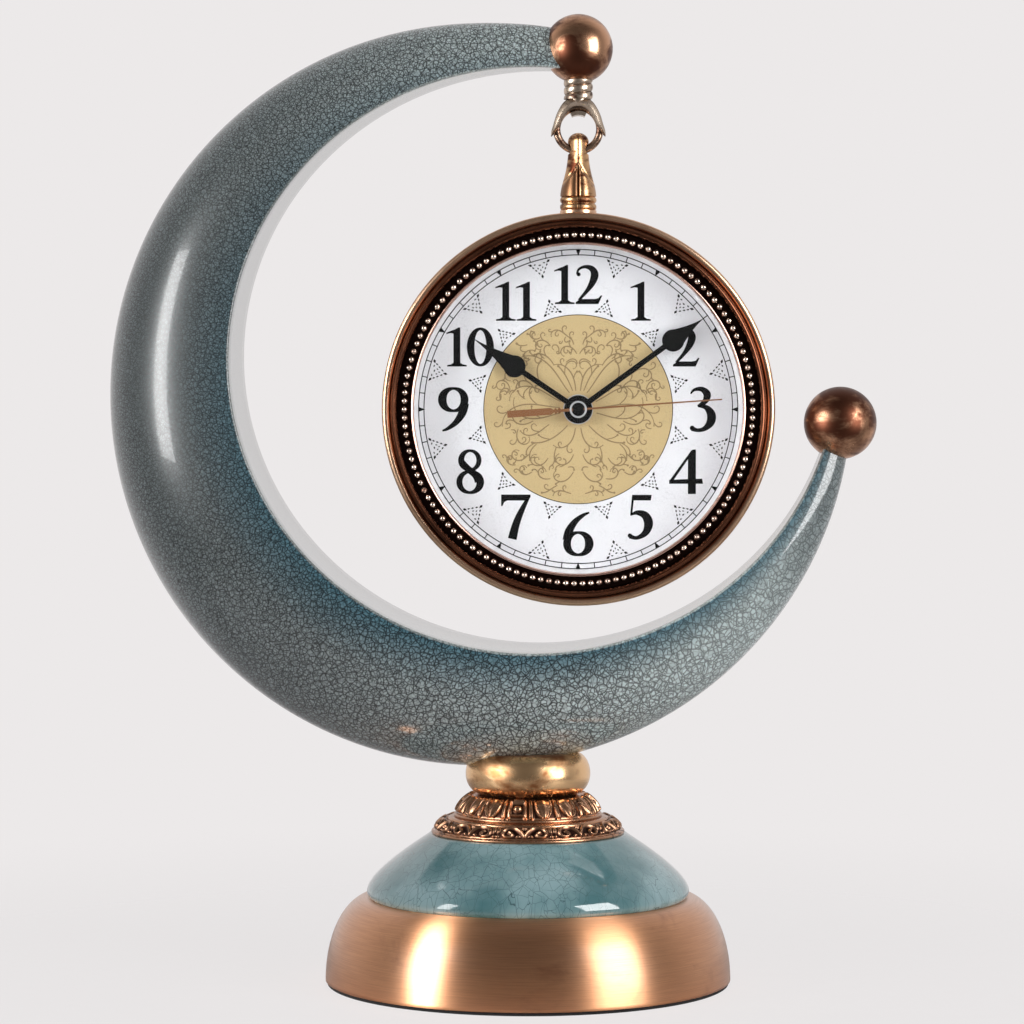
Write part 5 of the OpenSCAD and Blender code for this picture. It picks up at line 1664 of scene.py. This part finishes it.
    def build_ornaments(self) -> None:
        """Prints the dotted triangles between the numerals, in two rings."""
        ink = Print(self.ink_low, self.ink_high)
        marks = [(-1.0, 0.0, 0.75, 30.0), (1.0, 0.0, 0.75, -30.0), (0.0, 1.0, 0.75, 90.0), (0.0, 0.16, 0.5, 0.0)]
        for t in (0.24, 0.48, 0.74):
            marks += [(-1 + t, t, 0.5, 55.0), (1 - t, t, 0.5, -55.0)]
        marks += [(-0.52, 0.05, 0.45, -15.0), (0.52, 0.05, 0.45, 15.0), (-0.26, 0.36, 0.4, 60.0),
                  (0.26, 0.36, 0.4, -60.0), (0.0, 0.52, 0.4, 90.0)]
        rings = ((65.4, -1.0, 4.0, 5.8), (42.9, 1.0, 3.3, 5.4))
        for hour in range(12):
            out, across = dial_axes(math.tau * (hour + 0.5) / 12)
            for base, way, half, depth in rings:
                for u, v, size, lean in marks:
                    centre = across * (u * half) + out * (base + way * v * depth)
                    t = math.radians(lean * way)
                    long = across * math.cos(t) + out * math.sin(t)
                    wide = Vector((-long.y, long.x))
                    ink.plate([tuple(centre + long * (size * p) + wide * (size * q))
                               for p, q in ((1.35, 0.0), (0.2, 0.75), (-1.35, 0.0), (0.2, -0.75))])
        ink.finish("dial_ornaments", INK, Body.CLOCK, "black_metal")

    def build_gold(self) -> None:
        """Lays the gold disc with its dark edge and scroll lines."""
        disc = Print(self.ink_low, self.ink_high)
        disc.ring(self.gold_r / 2, self.gold_r - self.pin_hole)
        disc.finish("gold_disc", DIAL_GOLD, Body.CLOCK, "dial_white")
        edge = Print(self.ink_low, self.ink_high + self.step_up)
        edge.ring(self.gold_r + 0.1, self.edge_line)
        edge.finish("gold_disc_edge", INK, Body.CLOCK, "black_metal")
        lines = Print(self.ink_low, self.ink_high + 2 * self.step_up)
        taken: set[tuple[int, int]] = set()
        for curl in (*self.curls, *(twig for stem in self.curls for twig in stem.branches())):
            points = self.clear_run(curl.points(self.gold_r - self.gold_margin), taken)
            if len(points) < self.shortest:
                continue
            x, y, width = points[-1]
            for side in (1, -1):
                lines.stroke([(side * px, py, w) for px, py, w in points], 1)
                lines.disc(self.end_dot * width, 8, side * x, y)
        lines.finish("gold_disc_scrolls", SCROLL_BROWN, Body.CLOCK, "dial_white")

    def clear_run(self, points: list[StrokePoint], taken: set[tuple[int, int]]) -> list[StrokePoint]:
        """Cuts a scroll line off before it crosses an earlier one or the disc's middle.

        Args:
            points: the line's points, which may begin on an earlier line.
            taken: squares of the disc that earlier lines run through; the kept points are added.

        Returns:
            The points that are kept.
        """
        squares = [(math.floor(x / self.square), math.floor(y / self.square)) for x, y, _ in points]
        left_stem = False
        count = 0
        for (x, _, _), square in zip(points, squares):
            if x < self.line or (left_stem and square in taken):
                break
            left_stem = left_stem or square not in taken
            count += 1
        taken.update(squares[:count])
        return points[:count]

    def build(self) -> None:
        """Dresses the plate and prints everything on it."""
        dress("dial_plate", ENAMEL)
        dress("spacer_ring", WHITE_PLASTIC)
        self.build_track()
        self.build_numerals()
        self.build_ornaments()
        self.build_gold()


@dataclass
class Hands:
    """The three hands and the cap; sizes in millimetres, levels above the dial."""

    hour_length: float = 55.0
    hour_turn: float = 304.0
    hour_level: float = 2.9
    minute_length: float = 67.0
    minute_turn: float = 54.0
    minute_level: float = 3.9
    second_length: float = 62.2
    second_tail: float = 30.7
    second_turn: float = 86.0
    second_level: float = 4.9
    thickness: float = 0.5
    stem: float = 1.2
    pear_r: float = 4.8
    boss_r: float = 6.1
    shoulder: float = 50.0
    hour_pear: float = 0.604
    minute_pear: float = 0.755
    hollow: float = 1.55
    tip_half: float = 0.12
    bevel: float = 0.12
    needle_bevel: float = 0.08

    def pear_outline(self, length: float, pear_at: float) -> list[Point]:
        """Outline of a hand: stem, pear and hollow sided point."""
        join = math.asin(self.stem / self.pear_r)
        right = [(self.stem, 3.0), (self.stem, pear_at - self.pear_r * math.cos(join) - 1.0)]
        turns = [join + (math.pi - math.radians(self.shoulder) - join) * i / 16 for i in range(17)]
        right += [(self.pear_r * math.sin(t), pear_at - self.pear_r * math.cos(t)) for t in turns]
        start_x, start_y = right[-1]
        for i in range(1, 15):
            share = i / 15
            right.append((start_x * (1 - share) ** self.hollow + self.tip_half * share,
                          start_y + (length - start_y) * share))
        return right + [(0.0, length)] + [(-x, y) for x, y in reversed(right)]

    def build_pear_hand(self, name: str, node: str, body: Body, length: float, pear_at: float, turn: float,
                        level: float) -> None:
        """Cuts one black hand with its boss.

        Args:
            name: the piece's name.
            node: the CAD node that it stands for.
            body: the body it rides on.
            length: length from the hub.
            pear_at: distance of the pear's centre.
            turn: degrees clockwise from twelve.
            level: level of its underside.
        """
        cut = Print(level, level + self.thickness)
        cut.plate(self.pear_outline(length, pear_at))
        cut.disc(self.boss_r, 64)
        cut.finish(name, BLACK_LACQUER, body, "black_metal", (node,), turn, self.bevel)

    def build_second(self) -> None:
        """Cuts the second hand, its tail and the cap on the hub."""
        level = self.second_level
        cut = Print(level, level + self.thickness)
        cut.plate([(-0.42, 0.0), (0.42, 0.0), (0.3, self.second_length), (-0.3, self.second_length)])
        cut.plate([(-0.6, 0.0), (-0.6, -10.5), (-1.5, -12.0), (-1.5, -self.second_tail), (1.5, -self.second_tail),
                   (1.5, -12.0), (0.6, -10.5), (0.6, 0.0)])
        for x, y in ((-0.7, -8.2), (0.7, -8.2), (-0.7, -9.8), (0.7, -9.8)):
            cut.disc(0.55, 12, x, y)
        cut.finish("second_needle", NEEDLE_COPPER, Body.SECOND, "antique_needle", ("second_hand",), self.second_turn,
                   self.needle_bevel)
        ring = [(2.9, level), (3.7, level), (3.7, level + 0.8), (3.55, level + 0.95), (3.05, level + 0.95),
                (2.9, level + 0.8)]
        cap = [(0.0, level), (2.9, level), (2.9, level + 0.3), (2.6, level + 0.4)]
        cap += arc((0.0, level + 0.4), 2.4, 0.55, 10, 90, 8)
        caps = (("cap_ring", ring, True, ZINC), ("needle_cap", cap, False, BLACK_LACQUER))
        for name, profile, closed, finish in caps:
            bm = bmesh.new()
            lathe(bm, profile, 64, closed=closed)
            bmesh.ops.transform(bm, matrix=CLOCK_PLACE, verts=bm.verts)
            sharpen(settle(name, bm, finish, Body.SECOND))

    def build(self) -> None:
        """Cuts all hands."""
        self.build_pear_hand("hour_pear_hand", "hour_hand", Body.HOUR, self.hour_length,
                             self.hour_length * self.hour_pear, self.hour_turn, self.hour_level)
        self.build_pear_hand("minute_pear_hand", "minute_hand", Body.MINUTE, self.minute_length,
                             self.minute_length * self.minute_pear, self.minute_turn, self.minute_level)
        self.build_second()


@dataclass
class ClockCase:
    """The case, bezel, glass and the string of beads in the bezel's channel; sizes in millimetres."""

    beads: int = 130
    bead_ring_r: float = 74.95
    bead_r: float = 1.42
    bead_level: float = 12.0

    def build(self) -> None:
        """Dresses the CAD nodes and strings the beads."""
        dress("case_drum", CASE_COPPER)
        dress("bezel", BEZEL_COPPER)
        dress("glass", GLASS)
        bm = bmesh.new()
        bmesh.ops.create_uvsphere(bm, u_segments=8, v_segments=6, radius=self.bead_r,
                                  matrix=Matrix.Translation((self.bead_ring_r, 0.0, self.bead_level)))
        bmesh.ops.spin(bm, geom=[*bm.verts, *bm.edges, *bm.faces], cent=(0.0, 0.0, 0.0),
                       axis=(0.0, 0.0, 1.0), angle=math.tau * (1 - 1 / self.beads), steps=self.beads - 1,
                       use_duplicate=True)
        to_metres(bm, CLOCK_PLACE)
        settle("bezel_beads", bm, BEAD_METAL, Body.CLOCK, ("bead_ring",))


@dataclass
class BackWorks:
    """The back cover and the movement behind it."""

    finishes: dict[str, Finish] = field(default_factory=lambda: {
        "back_cover": BLACK_PLASTIC, "cover_screws": ZINC, "movement_case": DARK_PLASTIC,
        "movement_back": DARK_PLASTIC, "bush_washer": ZINC, "bush_nut": CASE_COPPER, "stator": ZINC,
        "coil": COIL_WIRE, "circuit_board": GREEN_BOARD, "crystal_can": ZINC, "battery_contacts": ZINC,
        "battery": JACKET, "rotor": ZINC, "step_wheel": WHITE_PLASTIC, "third_wheel": WHITE_PLASTIC,
        "motion_wheel": WHITE_PLASTIC, "setting_knob": BLACK_PLASTIC, "hour_wheel": WHITE_PLASTIC,
        "minute_wheel": WHITE_PLASTIC, "second_wheel": ZINC})

    def build(self) -> None:
        """Dresses the movement's CAD nodes."""
        for node, finish in self.finishes.items():
            dress(node, finish)


@dataclass(frozen=True)
class FloorPaper(Finish):
    """Pale floor that keeps the shadow and fades into the backdrop."""

    reach: float = 0.6
    glow: float = 0.86
    lit: Colour = screen(240, 237, 237)
    fade_from: float = 0.3
    fade_to: float = 0.95

    def surface(self, g: Graph, shader: Node) -> NodeSocket:
        """The lit floor, lifted for the camera and clear towards its edge."""
        lift = g.add("Emission")
        g.feed(lift.inputs["Color"], self.lit)
        share = g.math("MULTIPLY", g.add("LightPath").outputs["Is Camera Ray"], self.glow)
        bright = g.mix_shader(share, shader.outputs[0], lift.outputs[0])
        away = g.vector("LENGTH", g.add("TexCoord").outputs["Object"])
        faded = g.remap(away, self.fade_from * self.reach, self.fade_to * self.reach)
        return g.mix_shader(faded, bright, g.add("BsdfTransparent").outputs[0])


@dataclass(frozen=True)
class SoftBox:
    """An area lamp that faces the clock."""

    name: str
    azimuth: float
    distance: float
    height: float
    width: float
    tall: float
    power: float
    aim_z: float = 0.2
    glossy: bool = True
    diffuse: bool = True

    def build(self) -> None:
        """Adds the lamp, turned to its aim."""
        lamp = bpy.data.lights.new(self.name, "AREA")
        lamp.shape = "RECTANGLE"
        lamp.size = self.width
        lamp.size_y = self.tall
        lamp.energy = self.power
        holder = bpy.data.objects.new(self.name, lamp)
        a = math.radians(self.azimuth)
        holder.location = (math.sin(a) * self.distance, -math.cos(a) * self.distance, self.height)
        aim = Vector((0.0, 0.0, self.aim_z)) - holder.location
        holder.rotation_euler = aim.to_track_quat("-Z", "Y").to_euler()
        holder.visible_glossy = self.glossy
        holder.visible_diffuse = self.diffuse
        holder.visible_transmission = False
        bpy.context.scene.collection.objects.link(holder)


@dataclass
class Studio:
    """Pale floor, pale surroundings, softboxes and the camera of the photograph."""

    camera_distance: float = 1.5
    pixel: float = 0.4337 * MM
    axis_px: tuple[float, float] = (545.0, 400.0)
    middle_px: float = 512.0
    centre_px: float = 528.0
    table_px: float = 983.0
    frame_px: int = 1024
    floor_r: float = 0.6
    floor_gap: float = 0.02 * MM
    dim_front: float = 0.13
    bright_back: float = 0.84
    fill: float = 0.25
    wall_colour: Colour = screen(236, 233, 233)
    floor_colour: Colour = screen(232, 231, 233)
    boxes: tuple[SoftBox, ...] = (
        SoftBox("strip_left", -60.0, 1.15, 0.44, 0.22, 0.7, 2.5),
        SoftBox("strip_gloss", -60.0, 1.15, 0.44, 0.22, 0.7, 22.0, diffuse=False),
        SoftBox("wide_gloss", 53.0, 1.2, 0.52, 0.6, 0.95, 15.5, diffuse=False),
        SoftBox("wide_right", 53.0, 1.2, 0.52, 0.6, 0.95, 7.5),
        SoftBox("overhead", 0.0, 0.4, 1.3, 1.0, 0.8, 1.35, glossy=False),
    )

    def place_of(self, x_px: float, y_px: float) -> Vector:
        """Point of the middle plane that a pixel of the photograph shows."""
        return Vector(((x_px - self.centre_px) * self.pixel, 0.0, (self.table_px - y_px) * self.pixel))

    def add_camera(self) -> None:
        """Adds the camera, level with the point that it sees straight on, aimed at the frame's middle."""
        data = bpy.data.cameras.new("camera")
        data.sensor_width = 36.0
        eye = self.place_of(*self.axis_px) + Vector((0.0, -self.camera_distance, 0.0))
        aim = self.place_of(self.middle_px, self.middle_px)
        reach = (aim - eye).length
        data.lens = data.sensor_width * reach / (self.frame_px * self.pixel)
        camera = bpy.data.objects.new("camera", data)
        camera.location = eye
        camera.rotation_euler = (aim - eye).to_track_quat("-Z", "Y").to_euler()
        bpy.context.scene.collection.objects.link(camera)
        bpy.context.scene.camera = camera

    def add_floor(self) -> None:
        """Adds the round pale floor just under the felt."""
        bm = bmesh.new()
        bmesh.ops.create_circle(bm, cap_ends=True, segments=96, radius=self.floor_r)
        bmesh.ops.translate(bm, vec=(0.0, 0.0, -self.floor_gap), verts=bm.verts)
        floor = add_object("floor", bm)
        paper = FloorPaper("floor_paper", colour=self.floor_colour, roughness=0.6, bump=0.0, reach=self.floor_r)
        floor.data.materials.append(paper.material())

    def add_world(self) -> None:
        """Adds pale surroundings: full for the camera and what it sees through glass, dim in front for reflections."""
        world = bpy.data.worlds.new("studio")
        bpy.context.scene.world = world
        world.use_nodes = True
        world.node_tree.nodes.clear()
        g = Graph(world.node_tree)
        path = g.add("LightPath")
        parts = g.parts(g.add("TexCoord").outputs["Generated"])
        back = g.remap(parts.outputs["Y"], -0.4, 0.65, self.dim_front, self.bright_back)
        straight = g.math("LESS_THAN", path.outputs["Diffuse Depth"], 0.5)
        through = g.math("MULTIPLY", path.outputs["Is Transmission Ray"], straight)
        seen = g.math("MAXIMUM", path.outputs["Is Camera Ray"], through)
        gloss = g.math("MULTIPLY", path.outputs["Is Glossy Ray"], g.math("SUBTRACT", 1.0, seen))
        level = g.math("ADD", seen, g.math("MULTIPLY", gloss, back))
        other = g.math("SUBTRACT", 1.0, g.math("MAXIMUM", seen, path.outputs["Is Glossy Ray"]))
        rest = g.math("MULTIPLY", other, self.fill)
        shade = g.add("Background")
        g.feed(shade.inputs["Color"], self.wall_colour)
        g.feed(shade.inputs["Strength"], g.math("ADD", level, rest))
        g.feed(g.add("OutputWorld").inputs["Surface"], shade.outputs[0])

    def build(self) -> None:
        """Adds everything and sets the view transform."""
        self.add_camera()
        self.add_floor()
        self.add_world()
        for box in self.boxes:
            box.build()
        bpy.context.scene.view_settings.view_transform = "Standard"


def main() -> None:
    """Builds the studio and the clock."""
    logging.basicConfig(level=logging.INFO, format="%(name)s: %(message)s")
    Studio().build()
    for part in (Foot(), LeafRing(), Crescent(), HornBalls(), Hanger(), Finial(), ClockCase(), Dial(), Hands(),
                 BackWorks()):
        LOG.info("building %s", type(part).__name__)
        part.build()


if __name__ == "__main__":
    main()
